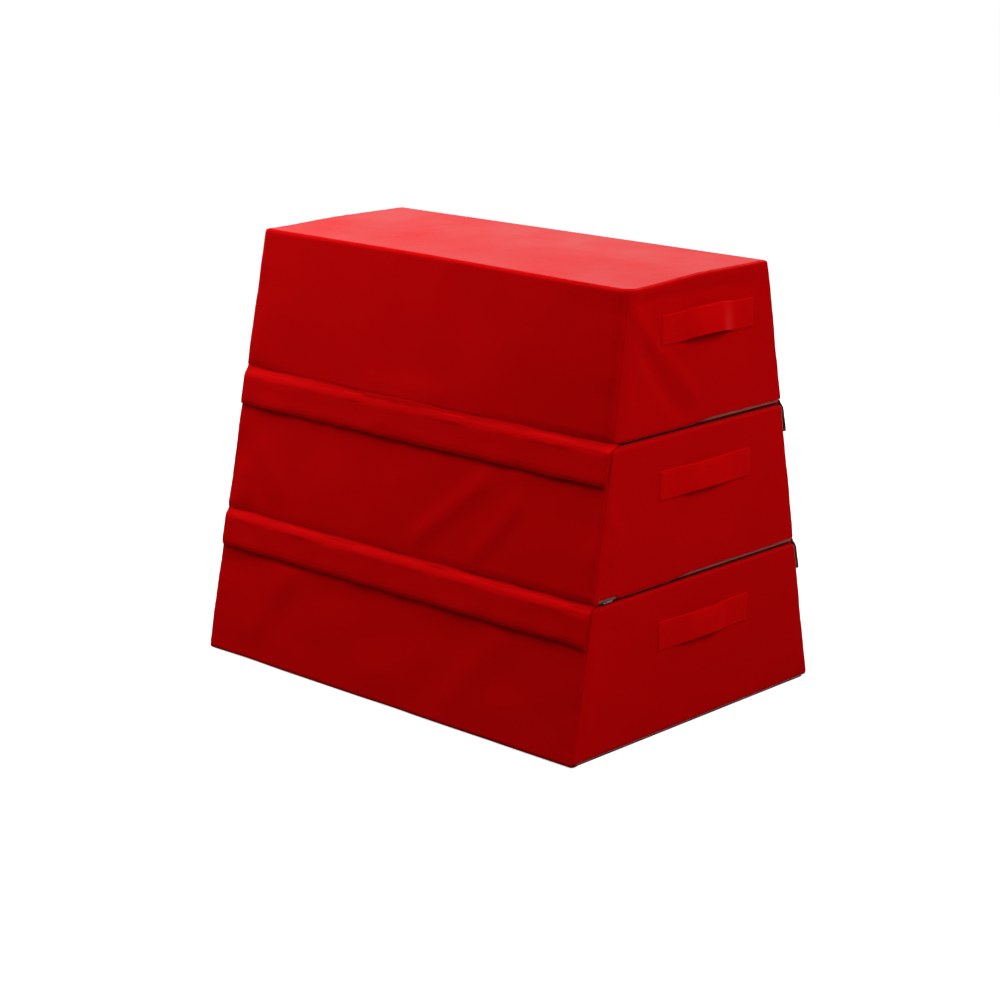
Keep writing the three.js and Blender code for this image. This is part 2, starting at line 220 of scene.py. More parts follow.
def make_mesh(name, points, faces, cloth_at=None, wear_and_highlight=None, foot_shade=None, sharp=50):
    """A smooth-shaded mesh object.

    cloth_at is where each point lies on its flat cloth; the next two give how much each point is lightened
    by rubbed wear and painted highlight, and how much painted shade darkens it at the foot.
    """
    data = bpy.data.meshes.new(name)
    faces = faces.tolist() if hasattr(faces, "tolist") else faces
    data.from_pydata(np.asarray(points, float).reshape(-1, 3).tolist(), [], faces)
    data.update()
    if cloth_at is not None:
        corners = np.empty(len(data.loops), np.int32)
        data.loops.foreach_get("vertex_index", corners)
        layer = data.uv_layers.new(name="cloth")
        layer.data.foreach_set("uv", np.asarray(cloth_at).reshape(-1, 2)[corners].ravel())
    for mark, values in (("wear_and_highlight", wear_and_highlight), ("foot_shade", foot_shade)):
        if values is not None:
            layer = data.attributes.new(mark, "FLOAT", "POINT")
            layer.data.foreach_set("value", np.asarray(values, np.float32).ravel())
    data.shade_smooth()
    data.set_sharp_from_angle(angle=math.radians(sharp))
    made = bpy.data.objects.new(name, data)
    bpy.context.scene.collection.objects.link(made)
    return made


def thicken(piece, thickness):
    """Gives a sheet its thickness, on its inner side."""
    solid = piece.modifiers.new("thickness", "SOLIDIFY")
    solid.thickness = thickness
    solid.offset = -1
    solid.use_rim = True


def dress(piece, material, slot, *nodes):
    """Gives a piece its material, and hides the imported nodes that it stands for."""
    piece.data.materials.append(material)
    if nodes:
        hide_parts(*nodes)


# Materials

# Dark red of the painted shade along the cloth's foot, at the floor and in the seams
FOOT_SHADE_COLOUR = (0.035, 0.003, 0.003)


def put(tree, kind, inputs, **settings):
    """Adds a shader node, and fills its inputs with values or links."""
    made = tree.nodes.new(kind)
    for key, value in settings.items():
        setattr(made, key, value)
    for key, value in inputs.items():
        if isinstance(value, bpy.types.NodeSocket):
            tree.links.new(value, made.inputs[key])
        else:
            made.inputs[key].default_value = value
    return made


def maths(tree, operation, *values):
    return put(tree, "ShaderNodeMath", dict(enumerate(values)), operation=operation).outputs[0]


def noise(tree, where, scale, detail=3, roughness=0.5):
    return put(tree, "ShaderNodeTexNoise", {
        "Vector": where, "Scale": scale, "Detail": detail, "Roughness": roughness,
    }).outputs["Fac"]


def ramp(tree, value, low_out, high_out, low_in=0.0, high_in=1.0):
    """A value taken from one range to another."""
    return put(tree, "ShaderNodeMapRange", {
        "Value": value, "From Min": low_in, "From Max": high_in, "To Min": low_out, "To Max": high_out,
    }).outputs[0]


def mix(tree, share, first, second):
    return put(tree, "ShaderNodeMix", {0: share, 6: first, 7: second}, data_type="RGBA").outputs[2]


def new_material(name, **sockets):
    """A material with only its main shader, whose plain numbers are set on its own sockets."""
    material = bpy.data.materials.new(name)
    material.use_nodes = True
    tree = material.node_tree
    tree.nodes.clear()
    shader = put(tree, "ShaderNodeBsdfPrincipled", {key.replace("_", " "): v for key, v in sockets.items()})
    put(tree, "ShaderNodeOutputMaterial", {"Surface": shader.outputs[0]})
    return material, tree, shader


def rgba(colour):
    return (*colour, 1.0)


def shade(colour, factor):
    """A colour made lighter or darker."""
    return rgba([channel * factor for channel in colour[:3]])


def weave_height(tree, pitch):
    """Height of a plain weave over the flat cloth, from its warp and weft."""
    flat = put(tree, "ShaderNodeUVMap", {}, uv_map="cloth").outputs[0]
    parts = put(tree, "ShaderNodeSeparateXYZ", {0: flat}).outputs
    turn = 2 * math.pi / pitch
    warp = maths(tree, "SINE", maths(tree, "MULTIPLY", parts[0], turn))
    weft = maths(tree, "SINE", maths(tree, "MULTIPLY", parts[1], turn))
    return maths(tree, "MULTIPLY", warp, weft), flat


def coated_cloth(name, colour, roughness, pitch, wear_and_highlight_strength, sheen=0.085):
    """Coated cloth: a faint weave under a satin skin, scuffs, edges lightened by wear and painted
    highlight, and painted shade along its foot.
    """
    material, tree, shader = new_material(name)
    glancing = put(tree, "ShaderNodeLayerWeight", {"Blend": 0.5}).outputs["Facing"]
    shine = ramp(tree, glancing, 0.03 * sheen, sheen, 0.56, 0.74)
    tree.links.new(shine, shader.inputs["Specular IOR Level"])
    weave, _ = weave_height(tree, pitch)
    place = put(tree, "ShaderNodeTexCoord", {}).outputs["Object"]
    cloudy = noise(tree, place, 7.0, 4, 0.55)
    grain = noise(tree, place, 900.0, 2)
    tone = mix(tree, cloudy, shade(colour, 0.94), shade(colour, 1.06))
    # Lighter where the cloth turns over edges and along seams: rubbed wear, and painted highlight on
    # rounded edges, the flaps' rolls and the straps' bowed middles
    worn_and_lit = put(tree, "ShaderNodeAttribute", {}, attribute_name="wear_and_highlight").outputs["Fac"]
    patchy = ramp(tree, noise(tree, place, 60.0, 4, 0.7), 0.35, 1.0, 0.4, 0.62)
    share = maths(tree, "MULTIPLY", worn_and_lit, maths(tree, "MULTIPLY", patchy, wear_and_highlight_strength))
    tone = mix(tree, share, tone, rgba([channel * 1.2 + 0.002 for channel in colour[:3]]))
    threads = ramp(tree, weave, 0.0, 0.035, -1.0, 1.0)
    tone = mix(tree, threads, tone, shade(colour, 0.7))
    # Painted shade: darker along the cloth's foot, at the floor and in the seams between sections
    foot_shade = put(tree, "ShaderNodeAttribute", {}, attribute_name="foot_shade").outputs["Fac"]
    foot_shade = maths(tree, "MULTIPLY", foot_shade, ramp(tree, noise(tree, place, 35.0, 3), 0.85, 1.0, 0.35, 0.65))
    tone = mix(tree, foot_shade, tone, rgba(FOOT_SHADE_COLOUR))
    tree.links.new(tone, shader.inputs["Base Color"])
    gloss = maths(tree, "ADD", ramp(tree, cloudy, roughness - 0.04, roughness + 0.06, 0.3, 0.7),
                  maths(tree, "MULTIPLY", share, 0.12))
    scuffs = put(tree, "ShaderNodeTexNoise", {
        "Vector": put(tree, "ShaderNodeMapping", {"Vector": place, "Scale": (18.0, 18.0, 4.0)}).outputs[0],
        "Scale": 9.0, "Detail": 5.0, "Distortion": 1.2,
    }).outputs["Fac"]
    gloss = maths(tree, "ADD", gloss, ramp(tree, scuffs, 0.0, 0.1, 0.6, 0.75))
    tree.links.new(gloss, shader.inputs["Roughness"])
    height = maths(tree, "ADD", maths(tree, "MULTIPLY", weave, 0.5), maths(tree, "MULTIPLY", grain, 0.6))
    fine = put(tree, "ShaderNodeBump", {"Strength": 0.35, "Distance": 0.00008, "Height": height})
    slack = noise(tree, place, 26.0, 3, 0.5)
    broad = put(tree, "ShaderNodeBump", {
        "Strength": 0.25, "Distance": 0.0012, "Height": slack, "Normal": fine.outputs[0],
    })
    tree.links.new(broad.outputs[0], shader.inputs["Normal"])
    return material


def woven(name, colour, pitch, depth, roughness=0.85):
    """Matt woven cloth or tape with a visible weave and uneven dye."""
    material, tree, shader = new_material(name, Specular_IOR_Level=0.03)
    weave, flat = weave_height(tree, pitch)
    fuzz = noise(tree, flat, 2600.0, 3, 0.7)
    uneven = noise(tree, flat, 45.0, 3)
    tone = mix(tree, uneven, shade(colour, 0.85), shade(colour, 1.12))
    # Painted shade in the low places of the weave: darker where the threads dip
    tone = mix(tree, ramp(tree, weave, 0.0, 0.5, 0.6, -1.0), tone, shade(colour, 0.45))
    tree.links.new(tone, shader.inputs["Base Color"])
    tree.links.new(ramp(tree, fuzz, roughness - 0.08, roughness + 0.08), shader.inputs["Roughness"])
    height = maths(tree, "ADD", weave, maths(tree, "MULTIPLY", fuzz, 0.8))
    bump = put(tree, "ShaderNodeBump", {"Strength": 0.7, "Distance": depth, "Height": height})
    tree.links.new(bump.outputs[0], shader.inputs["Normal"])
    return material


def pile(name, colour, scale, depth, roughness=0.95):
    """Tape covered in small loops or hooks."""
    material, tree, shader = new_material(name, Specular_IOR_Level=0.03)
    place = put(tree, "ShaderNodeTexCoord", {}).outputs["Object"]
    cells = put(tree, "ShaderNodeTexVoronoi", {"Vector": place, "Scale": scale}).outputs["Distance"]
    fuzz = noise(tree, place, scale * 3, 3, 0.7)
    # Painted highlight on the loops and painted shade between them: lighter at each cell's middle, darker
    # at its edges
    tone = mix(tree, cells, shade(colour, 1.7), shade(colour, 0.4))
    tone = mix(tree, ramp(tree, fuzz, 0.0, 0.5), tone, shade(colour, 1.1))
    tree.links.new(tone, shader.inputs["Base Color"])
    tree.links.new(ramp(tree, fuzz, roughness - 0.1, roughness), shader.inputs["Roughness"])
    height = maths(tree, "SUBTRACT", maths(tree, "MULTIPLY", fuzz, 0.5), cells)
    bump = put(tree, "ShaderNodeBump", {"Strength": 0.9, "Distance": depth, "Height": height})
    tree.links.new(bump.outputs[0], shader.inputs["Normal"])
    return material


def cellular_foam(name, colour):
    """Cut foam: small open cells and a slight yellowing."""
    material, tree, shader = new_material(name, Specular_IOR_Level=0.2)
    place = put(tree, "ShaderNodeTexCoord", {}).outputs["Object"]
    cells = put(tree, "ShaderNodeTexVoronoi", {"Vector": place, "Scale": 650.0}).outputs["Distance"]
    aged = noise(tree, place, 5.0, 3)
    tone = mix(tree, aged, shade(colour, 0.9), shade(colour, 1.06))
    # Painted shade in the pores: darker in the small pits of the cells
    tone = mix(tree, ramp(tree, cells, 0.0, 0.45, 0.25, 0.0), tone, shade(colour, 0.5))
    tree.links.new(tone, shader.inputs["Base Color"])
    tree.links.new(ramp(tree, aged, 0.88, 0.98), shader.inputs["Roughness"])
    bump = put(tree, "ShaderNodeBump", {"Strength": 0.8, "Distance": 0.0006, "Height": cells})
    tree.links.new(bump.outputs[0], shader.inputs["Normal"])
    return material


def dull_metal(name, colour):
    """Nickel-plated zinc with fine scratches and tarnish."""
    material, tree, shader = new_material(name, Metallic=1.0)
    place = put(tree, "ShaderNodeTexCoord", {}).outputs["Object"]
    tarnish = noise(tree, place, 420.0, 5, 0.65)
    tone = mix(tree, tarnish, shade(colour, 0.6), shade(colour, 1.25))
    tree.links.new(tone, shader.inputs["Base Color"])
    tree.links.new(ramp(tree, tarnish, 0.25, 0.5), shader.inputs["Roughness"])
    drawn = put(tree, "ShaderNodeMapping", {"Vector": place, "Scale": (1.0, 0.06, 1.0)}).outputs[0]
    bump = put(tree, "ShaderNodeBump", {
        "Strength": 0.25, "Distance": 0.00005, "Height": noise(tree, drawn, 9000.0, 2),
    })
    tree.links.new(bump.outputs[0], shader.inputs["Normal"])
    return material


def spun_thread(name, colour):
    """Sewing thread or zip coil: glossy filament with a fine twist."""
    material, tree, shader = new_material(name, Specular_IOR_Level=0.06)
    place = put(tree, "ShaderNodeTexCoord", {}).outputs["Object"]
    strands = noise(tree, place, 2400.0, 2)
    tone = mix(tree, strands, shade(colour, 0.75), shade(colour, 1.15))
    tree.links.new(tone, shader.inputs["Base Color"])
    tree.links.new(ramp(tree, strands, 0.4, 0.6), shader.inputs["Roughness"])
    bump = put(tree, "ShaderNodeBump", {"Strength": 0.5, "Distance": 0.0001, "Height": strands})
    tree.links.new(bump.outputs[0], shader.inputs["Normal"])
    return material


# Settings that a user would change

def colour_property(name, description, default):
    return FloatVectorProperty(
        name=name, description=description, default=default, subtype="COLOR", size=3, min=0.0, max=1.0)


def length_property(name, description, default):
    return FloatProperty(
        name=name, description=description, default=default, subtype="DISTANCE", unit="LENGTH", precision=5)


def power_property(name, description, default):
    return FloatProperty(
        name=name, description=f"Power of the {description} in watts", default=default, min=0.0)


class CoverSettings(bpy.types.PropertyGroup):
    colour: colour_property("Colour", "Colour of the coated cloth", (0.52, 0.0008, 0.0016))
    roughness: FloatProperty(name="Roughness", description="How dull the cloth's skin is", default=0.42)
    weave: length_property("Weave", "From one thread to the next under the coating", 1.1 * MM)
    seam_depth: length_property("Seam depth", "How far the sewn seams sink in", 1.1 * MM)
    pucker: length_property("Pucker", "Height of the puckers along the seams", 0.4 * MM)
    slack: length_property("Slack", "Height of the broad waves in the faces", 0.7 * MM)


class FlapSettings(bpy.types.PropertyGroup):
    colour: colour_property("Colour", "Colour of the flaps", (0.52, 0.0010, 0.0018))
    wave: length_property("Edge wave", "How far the free edge waves in and out", 1.0 * MM)


class HandleSettings(bpy.types.PropertyGroup):
    # Lighter than the cover's cloth, as painted light on the straps
    colour: colour_property("Colour", "Colour of the strap handles", (0.60, 0.0011, 0.0020))
    lift: length_property("Lift", "How far the loose middle of the top handle rides up", 9 * MM)
    stitch: length_property("Stitch", "Length of one stitch", 3 * MM)


class TrimSettings(bpy.types.PropertyGroup):
    # Pale tape tinted red as painted light reflected from the red cloth round it
    zip_tape: colour_property("Zip tape", "Colour of the cover's half of the zip", (0.56, 0.16, 0.125))
    # Dark red as painted shade: it stands for the shaded gap under the cover's hem
    zip_base: colour_property("Zip base", "Colour of the base's half of the zip", (0.14, 0.006, 0.006))
    # Dark as painted shade on the sliders, which sit in the shaded seam
    metal: colour_property("Metal", "Colour of the zip sliders and pulls", (0.10, 0.096, 0.092))
    hook_loop: colour_property("Hook and loop", "Colour of the fastening tapes", (0.02, 0.016, 0.016))
    foam: colour_property("Foam", "Colour of the foam", (0.78, 0.74, 0.58))
    # Dark red as painted shade: the base cloth's edges fill the shaded slits of the seams with it
    base: colour_property("Base", "Colour of the base cloth", (0.075, 0.016, 0.014))
    tooth: length_property("Tooth", "From one turn of the zip coil to the next", 2.2 * MM)


class StageSettings(bpy.types.PropertyGroup):
    overhead: power_property("Overhead", "overhead light", 98.0)
    front: power_property("Front", "light at the front left", 71.0)
    end: power_property("End", "light at the right end", 126.0)
    rear: power_property("Rear", "light behind", 70.0)
    ambient: FloatProperty(name="Ambient", description="Strength of the light all round", default=0.004)
    lens: FloatProperty(name="Lens", description="Focal length of the camera in millimetres", default=86.66)


def settings():
    return bpy.context.scene.vaulting_box


class BoxSettings(bpy.types.PropertyGroup):
    cover: PointerProperty(type=CoverSettings)
    flap: PointerProperty(type=FlapSettings)
    handle: PointerProperty(type=HandleSettings)
    trim: PointerProperty(type=TrimSettings)
    stage: PointerProperty(type=StageSettings)


# The skin of a section

# Radius of each section's corners: front left, front right, rear
CORNERS = {
    "bottom": (7 * MM, 10 * MM, 6 * MM),
    "middle": (7 * MM, 13 * MM, 6 * MM),
    "top": (8 * MM, 28 * MM, 6 * MM),
}


def corner_radius(section, x, y):
    """Radius of the upright corner that a place is nearest to."""
    left, right, rear = CORNERS[section]
    return np.where(y > 0, rear, np.where(x < 0, left, right))


# Radius of each section's top edges, and how much it grows round the middle section's front right corner
EDGES = {"bottom": 6 * MM, "middle": 6.5 * MM, "top": 7.5 * MM}
SOFT_CORNER = 0.7
SOFT_CORNER_REACH = 160 * MM
# Radius that the wrap turns under the front with
TOE = 7 * MM
# Along the box: how deep the groove over a front flap is, and how far the flap's upper edge rolls in
GROOVE_AT = np.array([-0.50, -0.36, -0.08, 0.08, 0.20, 0.36, 0.50])
GROOVES = {
    "middle": np.array([1.9, 1.1, 1.2, 1.3, 2.2, 2.8, 3.4]) * MM,
    "top": np.array([2.3, 0.9, -1.0, -0.4, 0.9, 2.2, 3.8]) * MM,
}
ROLLS = {
    "middle": [1.0, 1.0, 0.95, 0.95, 0.9, 0.85, 0.55],
    "top": [1.05, 1.0, 0.5, 0.55, 0.68, 0.75, 0.4],
}
REAR_GROOVE = 1.2 * MM
# The top section's front edge: how far it sinks, how much more at its right corner, and that corner's lean
SUNK = 5.5 * MM
SUNK_CORNER = 3.0 * MM
LEAN = 12 * MM


def edge_radius(section, x, y):
    """Radius of the top edges, larger round the middle section's front right corner."""
    away = np.hypot(half_length(CREST[section]) - x, half_width(CREST[section]) + y)
    softer = SOFT_CORNER if section == "middle" else 0.0
    return EDGES[section] * (1 + softer * np.exp(-(away / SOFT_CORNER_REACH) ** 2))


def groove_depth(section, face, x):
    """How far a long face goes in just over its flap."""
    if section == "bottom":
        return np.zeros(np.shape(x))
    if face == "rear":
        return np.full(np.shape(x), REAR_GROOVE)
    return np.interp(x, GROOVE_AT, GROOVES[section])


def settle(section, place):
    """Sinks the top section's front edge, where hands land, and leans its right corner forward."""
    if section != "top":
        return place
    x, y, z = place[..., 0], place[..., 1], place[..., 2]
    front = smooth(-y, -20 * MM, 190 * MM)
    right = smooth(x, -150 * MM, 500 * MM)
    sunk = (SUNK + SUNK_CORNER * right) * front * smooth(z, FOOT["top"] + 110 * MM, CREST["top"])
    forward = LEAN * front * right * np.clip((z - FOOT["top"]) / (CREST["top"] - FOOT["top"]), 0, 1)
    return np.stack([x, y - forward, z - sunk], -1)


def groove_share(height):
    """Share of the groove's depth at a height over a section's foot."""
    return 1 - smooth(height, 2 * MM, 23 * MM)


def rounded(section, x, y, z, edge, toe, sole):
    """Takes points of a section's sharp outline to its rounded one. Gives points and outward directions."""
    corner = corner_radius(section, x, y)
    side_x, side_y = np.where(x < 0, -1.0, 1.0), np.where(y < 0, -1.0, 1.0)
    a = half_length(z) - np.abs(x)
    b = half_width(z) - np.abs(y)
    c = CREST[section] - z
    d = z - sole
    va, vb = np.maximum(corner - a, 0), np.maximum(corner - b, 0)
    reach, length = np.maximum(va, vb), np.maximum(np.hypot(va, vb), 1e-12)
    ua, ub = va * reach / length, vb * reach / length
    a, b = a + va - ua, b + vb - ub
    flat = reach < 1e-9
    ux = np.where(flat, 0.0, side_x * va / length)
    uy = np.where(flat, side_y, side_y * vb / length)
    inside = np.where(flat, np.minimum(a, b), corner - reach)
    up = np.zeros_like(a)
    level = np.where((inside > 1e-6) & (c < 1e-6), 0.0, 1.0)
    for radius, distance, sign in ((edge, c, 1.0), (toe, d, -1.0)):
        wi, wd = np.maximum(radius - inside, 0), np.maximum(radius - distance, 0)
        reach, length = np.maximum(wi, wd), np.maximum(np.hypot(wi, wd), 1e-12)
        near = (wd > 0) & (inside < radius + 1e-9)
        fi, fd = np.where(near, wi * reach / length, wi), np.where(near, wd * reach / length, wd)
        a, b = a + np.abs(ux) * (wi - fi), b + np.abs(uy) * (wi - fi)
        z = z - sign * (wd - fd)
        up = np.where(wd > 0, sign * wd / length, up)
        level = np.where(wd > 0, wi / length, level)
    point = np.stack([side_x * (half_length(z) - a), side_y * (half_width(z) - b), z], -1)
    tilt = END_SLOPE * np.abs(ux) + SIDE_SLOPE * np.abs(uy)
    out = np.stack([ux * level, uy * level, up + level * tilt], -1)
    return point, out / np.linalg.norm(out, axis=-1, keepdims=True)


def fold(u, z, line, width, height):
    """A soft ridge, or a valley for a height below zero, along a line of points."""
    best = np.full(np.broadcast(u, z).shape, 1e9)
    for (u0, z0), (u1, z1) in zip(line, line[1:]):
        du, dz = u1 - u0, z1 - z0
        t = np.clip(((u - u0) * du + (z - z0) * dz) / (du * du + dz * dz), 0, 1)
        best = np.minimum(best, np.hypot(u - u0 - t * du, z - z0 - t * dz))
    return height * np.exp(-(best / width) ** 2)


# How far the cloth dips round a handle's sewn ends, and how far the sewn corners wave sideways
TAB_DENT = 0.5 * MM
CORNER_WAVE = 0.8 * MM

# Folds of the covers: face, line of (along, up) in metres, width and height
FOLDS = {
    "top": [
        ("right", [(-0.205, 0.862), (-0.130, 0.775), (-0.025, 0.665)], 0.017, 3.6 * MM),
        ("right", [(-0.160, 0.760), (-0.120, 0.700), (-0.055, 0.622)], 0.017, -4.6 * MM),
        ("right", [(-0.160, 0.872), (0.140, 0.860)], 0.016, -2.2 * MM),
        ("left", [(0.170, 0.850), (0.060, 0.760), (0.000, 0.680)], 0.024, 2.9 * MM),
        ("front", [(-0.500, 0.690), (-0.490, 0.640)], 0.030, 3.0 * MM),
        ("front", [(-0.130, 0.622), (0.050, 0.626)], 0.028, 2.4 * MM),
    ],
    "middle": [
        ("front", [(0.200, 0.480), (0.050, 0.350)], 0.022, 2.9 * MM),
        ("front", [(0.290, 0.450), (0.215, 0.350)], 0.022, 2.6 * MM),
        ("front", [(-0.476, 0.380), (-0.470, 0.350)], 0.030, 3.8 * MM),
        ("front", [(-0.425, 0.440), (-0.370, 0.365)], 0.026, 2.4 * MM),
        ("right", [(-0.275, 0.500), (-0.262, 0.450), (-0.240, 0.440), (-0.262, 0.390)], 0.014, 2.6 * MM),
        ("rear", [(-0.100, 0.500), (0.080, 0.360)], 0.030, 2.9 * MM),
    ],
    "bottom": [
        ("right", [(-0.320, 0.220), (-0.335, 0.080)], 0.018, 2.4 * MM),
        ("front", [(0.300, 0.190), (0.180, 0.060)], 0.034, 2.2 * MM),
        ("front", [(-0.300, 0.200), (-0.390, 0.070)], 0.030, 1.9 * MM),
        ("rear", [(0.250, 0.180), (0.120, 0.050)], 0.034, 2.4 * MM),
    ],
}


def handle_place(section, end):
    """Middle of a handle along Y and Z, its half width up the face, and its half length along it."""
    strap_low, strap_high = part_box(f"{section}_handle_strap_{end}")
    tab_low = low(f"{section}_handle_tab_{end}_front")
    tab_high = high(f"{section}_handle_tab_{end}_rear")
    middle, half_run = (tab_low.y + tab_high.y) / 2, (tab_high.y - tab_low.y) / 2
    height, half_rise = (strap_low.z + strap_high.z) / 2, (strap_high.z - strap_low.z) / 2
    return middle, height, half_rise, half_run


def sewn_tabs(section, end, y, z):
    """1 on the two sewn tabs of a handle and 0 away from them."""
    middle, height, half_rise, half_run = handle_place(section, end)
    tall = window(z, height - half_rise, height + half_rise, 8 * MM)
    along = window(np.abs(y - middle), half_run - HANDLE_TAB, half_run, 8 * MM)
    return tall * along


def behind_flap(section, z):
    """1 on the part of a long face that a flap lies on, and 0 away from it."""
    return smooth(z, CREST[section] - 95 * MM, CREST[section] - 76 * MM)


def puckers(place):
    """Waves of height about one along the sewn seams."""
    beat = place[..., 2] + place[..., 1]
    regular = np.sin(beat * 2 * math.pi / 0.027 + 1.3 * np.sin(beat * 31))
    return (regular + ripples(beat, 0 * beat, 77, 0.05, 0.012, 5)) / 2


def puff(section, place, face, seam, cover):
    """How far the cover stands out of its rounded outline at each place, for one face of a section."""
    x, y, z = place[..., 0], place[..., 1], place[..., 2]
    along = {"front": x, "rear": x, "top": x, "left": y, "right": y}[face]
    rise = y if face == "top" else z
    seed = SECTIONS.index(section) * 10 + ("front", "rear", "top", "left", "right").index(face)
    slack = cover.slack * ripples(along, rise * 1.3, seed, 0.55, 0.13)
    if face == "top":
        slack = -0.25 * cover.slack * (1 + ripples(along, rise, seed, 0.5, 0.2) / 2)
    for where, line, width, height in FOLDS[section]:
        if where == face:
            slack = slack + fold(along, z, line, width, height)
    quiet = 1.0
    if face in FACES and section != "top":
        quiet = 1 - behind_flap(section, z)
        slack = slack * quiet
    if face in ENDS:
        tabs = sewn_tabs(section, face, y, z)
        slack = slack * (1 - tabs) - TAB_DENT * 4 * tabs * (1 - tabs)
    slack = slack * smooth(seam, 0, 30 * MM)
    if face in FACES:
        groove = groove_depth(section, face, x) * groove_share(z - FOOT[section])
        slack = slack - groove * smooth(seam, 0, 6 * MM)
    slack = slack + quiet * cover.pucker * puckers(place) * np.exp(-seam / 0.02) * smooth(seam, 0, 4 * MM)
    depth = cover.seam_depth * (0.55 if section == "top" else 1.0)
    return slack - depth * np.clip(1 - seam / SEAM_TUCK, 0, 1) ** 2


def sole_of(section):
    """Height of the underside of a section's cover: over the flap's root where there is one."""
    return FOOT[section] + (0.0 if section == "bottom" else LIP)


def corner_wave(place):
    """Small sideways waves of the sewn corners, which die out away from them."""
    x, y, z = place[..., 0], place[..., 1], place[..., 2]
    shift = np.where(x < 0, 3.0, 0.0) + np.where(y < 0, 1.4, 0.0)
    long_wave = np.sin(z * 2 * math.pi / 0.19 + shift)
    return CORNER_WAVE * (long_wave + 0.6 * np.sin(z * 2 * math.pi / 0.083 + 2 * shift))


# Close rows beside seams and edges, in distance from them
FINE = np.array([0, 0.5, 1.0, 1.6, 2.4, 3.6, 5, 7, 9.5, 12.5, 16, 20, 25, 31, 38]) * MM
FINE_EDGE = np.array([0, 0.6, 1.4, 2.4, 3.6, 5, 7, 10, 14, 20]) * MM
FINE_TOP = np.append(FINE_EDGE, 28 * MM)
FINE_FOOT = np.array([0, 1, 2.5, 4.5, 7, 10, 13, 16, 19, 22, 25, 28, 32]) * MM
UNDER_FRONT = np.array([18, 13, 9, 6, 3.5, 1.5, 0]) * MM


def worn_and_lit_edges(out, seam):
    """How much the cloth is lightened, by rubbed wear and painted highlight: most where it turns over an
    edge, and along its seams.
    """
    turning = 1 - np.max(np.abs(out), axis=-1)
    return np.clip(turning * 3 + 0.5 * np.exp(-seam / 0.006), 0, 1)


def cover_wrap(section, material, cover):
    """The long sheet: from under the front edge up the front, over the top, and down to the rear hem."""
    foot, crest, sole = FOOT[section], CREST[section], sole_of(section)
    rear_drop = crest - foot - HEM_UP
    under = UNDER_FRONT
    climb = spread(FINE_FOOT, crest - sole, 7 * MM)[1:]
    over = spread(FINE_TOP, 2 * half_width(crest), 9 * MM)[1:]
    descend = rear_drop - spread(FINE_EDGE, rear_drop, 7 * MM)[::-1][1:]
    y = np.concatenate([
        under - half_width(sole), -half_width(sole + climb), over - half_width(crest),
        half_width(crest - descend),
    ])
    z = np.concatenate([
        np.full(len(under), sole), sole + climb, np.full(len(over), crest), crest - descend,
    ])
    face = np.repeat(["front", "front", "top", "rear"], [len(under), len(climb), len(over), len(descend)])
    from_end = spread(FINE, 2 * half_length(foot), 8 * MM)
    share = np.clip((from_end - FINE[-1]) / (2 * half_length(foot) - 2 * FINE[-1]), 0, 1)
    sharp_z = np.broadcast_to(z[:, None], (len(z), len(from_end)))
    sharp_y = np.broadcast_to(y[:, None], sharp_z.shape)
    end = half_length(sharp_z)
    left_fine, right_fine = from_end <= FINE[-1], from_end >= from_end[-1] - FINE[-1]
    inner = (2 * share - 1) * (end - FINE[-1])
    inner = np.where(right_fine, end - (from_end[-1] - from_end), inner)
    sharp_x = np.where(left_fine, from_end - end, inner)
    edge = edge_radius(section, sharp_x, sharp_y)
    place, out = rounded(section, sharp_x, sharp_y, sharp_z, edge, TOE, sole)
    seam = end - np.abs(sharp_x)
    push = np.zeros(sharp_z.shape)
    for name in ("front", "top", "rear"):
        rows = face == name
        push[rows] = puff(section, place[rows], name, seam[rows], cover)
    free = (section == "top") | (sharp_z < crest - 95 * MM)
    push += corner_wave(place) * np.exp(-seam / 0.05) * np.abs(out[..., 1]) * free
    push = np.where(out[..., 2] < -0.5, np.minimum(push, 0), push)
    place = place + out * push[..., None]
    place = settle(section, place)
    steps = np.concatenate([[0], np.cumsum(np.hypot(np.diff(y), np.diff(z)))])
    cloth_at = np.stack([sharp_x, np.broadcast_to(steps[:, None], sharp_x.shape)], -1)
    wear_and_highlight = worn_and_lit_edges(out, seam)
    # Painted shade along the bottom section's foot, where it meets the floor
    foot_shade = (section == "bottom") * FOOT_SHADE_SHARE * np.clip(1 - place[..., 2] / FOOT_SHADE_HEIGHT, 0, 1)
    faces = grid_faces(*sharp_x.shape)
    piece = make_mesh(f"{section}_cover_wrap_cloth", place, faces, cloth_at, wear_and_highlight, foot_shade)
    thicken(piece, CLOTH)
    dress(piece, material, "cover", f"{section}_cover_wrap")
    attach(piece, f"{section}_section")


# Where the end panels' hem hangs low over the zip, in mm from the front corner: from, to, fully up again
HEM_LOW = {
    ("bottom", "right"): (-20, 900, 990),
    ("middle", "right"): (64, 190, 300),
    ("top", "right"): (-20, 210, 300),
    ("bottom", "left"): (64, 470, 600),
    ("middle", "left"): (-20, 220, 300),
    ("top", "left"): (64, 200, 300),
}


def hem_height(section, end, from_front):
    """Height of an end panel's hem above the sole, at a distance from the front corner."""
    start, stop, gone = (value * MM for value in HEM_LOW[section, end])
    leg = 1 - smooth(from_front, LEG - 2 * MM, LEG + 1 * MM)
    low_hem = smooth(from_front, start, start + 16 * MM) * (1 - smooth(from_front, stop, gone))
    slider_room = np.zeros_like(from_front)
    if start > 0:
        rear = 2 * half_width(FOOT[section])
        slider_room = 1 - smooth(from_front, 62 * MM, 76 * MM)
        slider_room = np.maximum(slider_room, smooth(from_front, rear - 58 * MM, rear - 44 * MM))
    height = PANEL_HEM + (SLIDER_HEM - PANEL_HEM) * slider_room
    return height * (1 - np.maximum(leg, low_hem * 0.93)) + 0.3 * MM


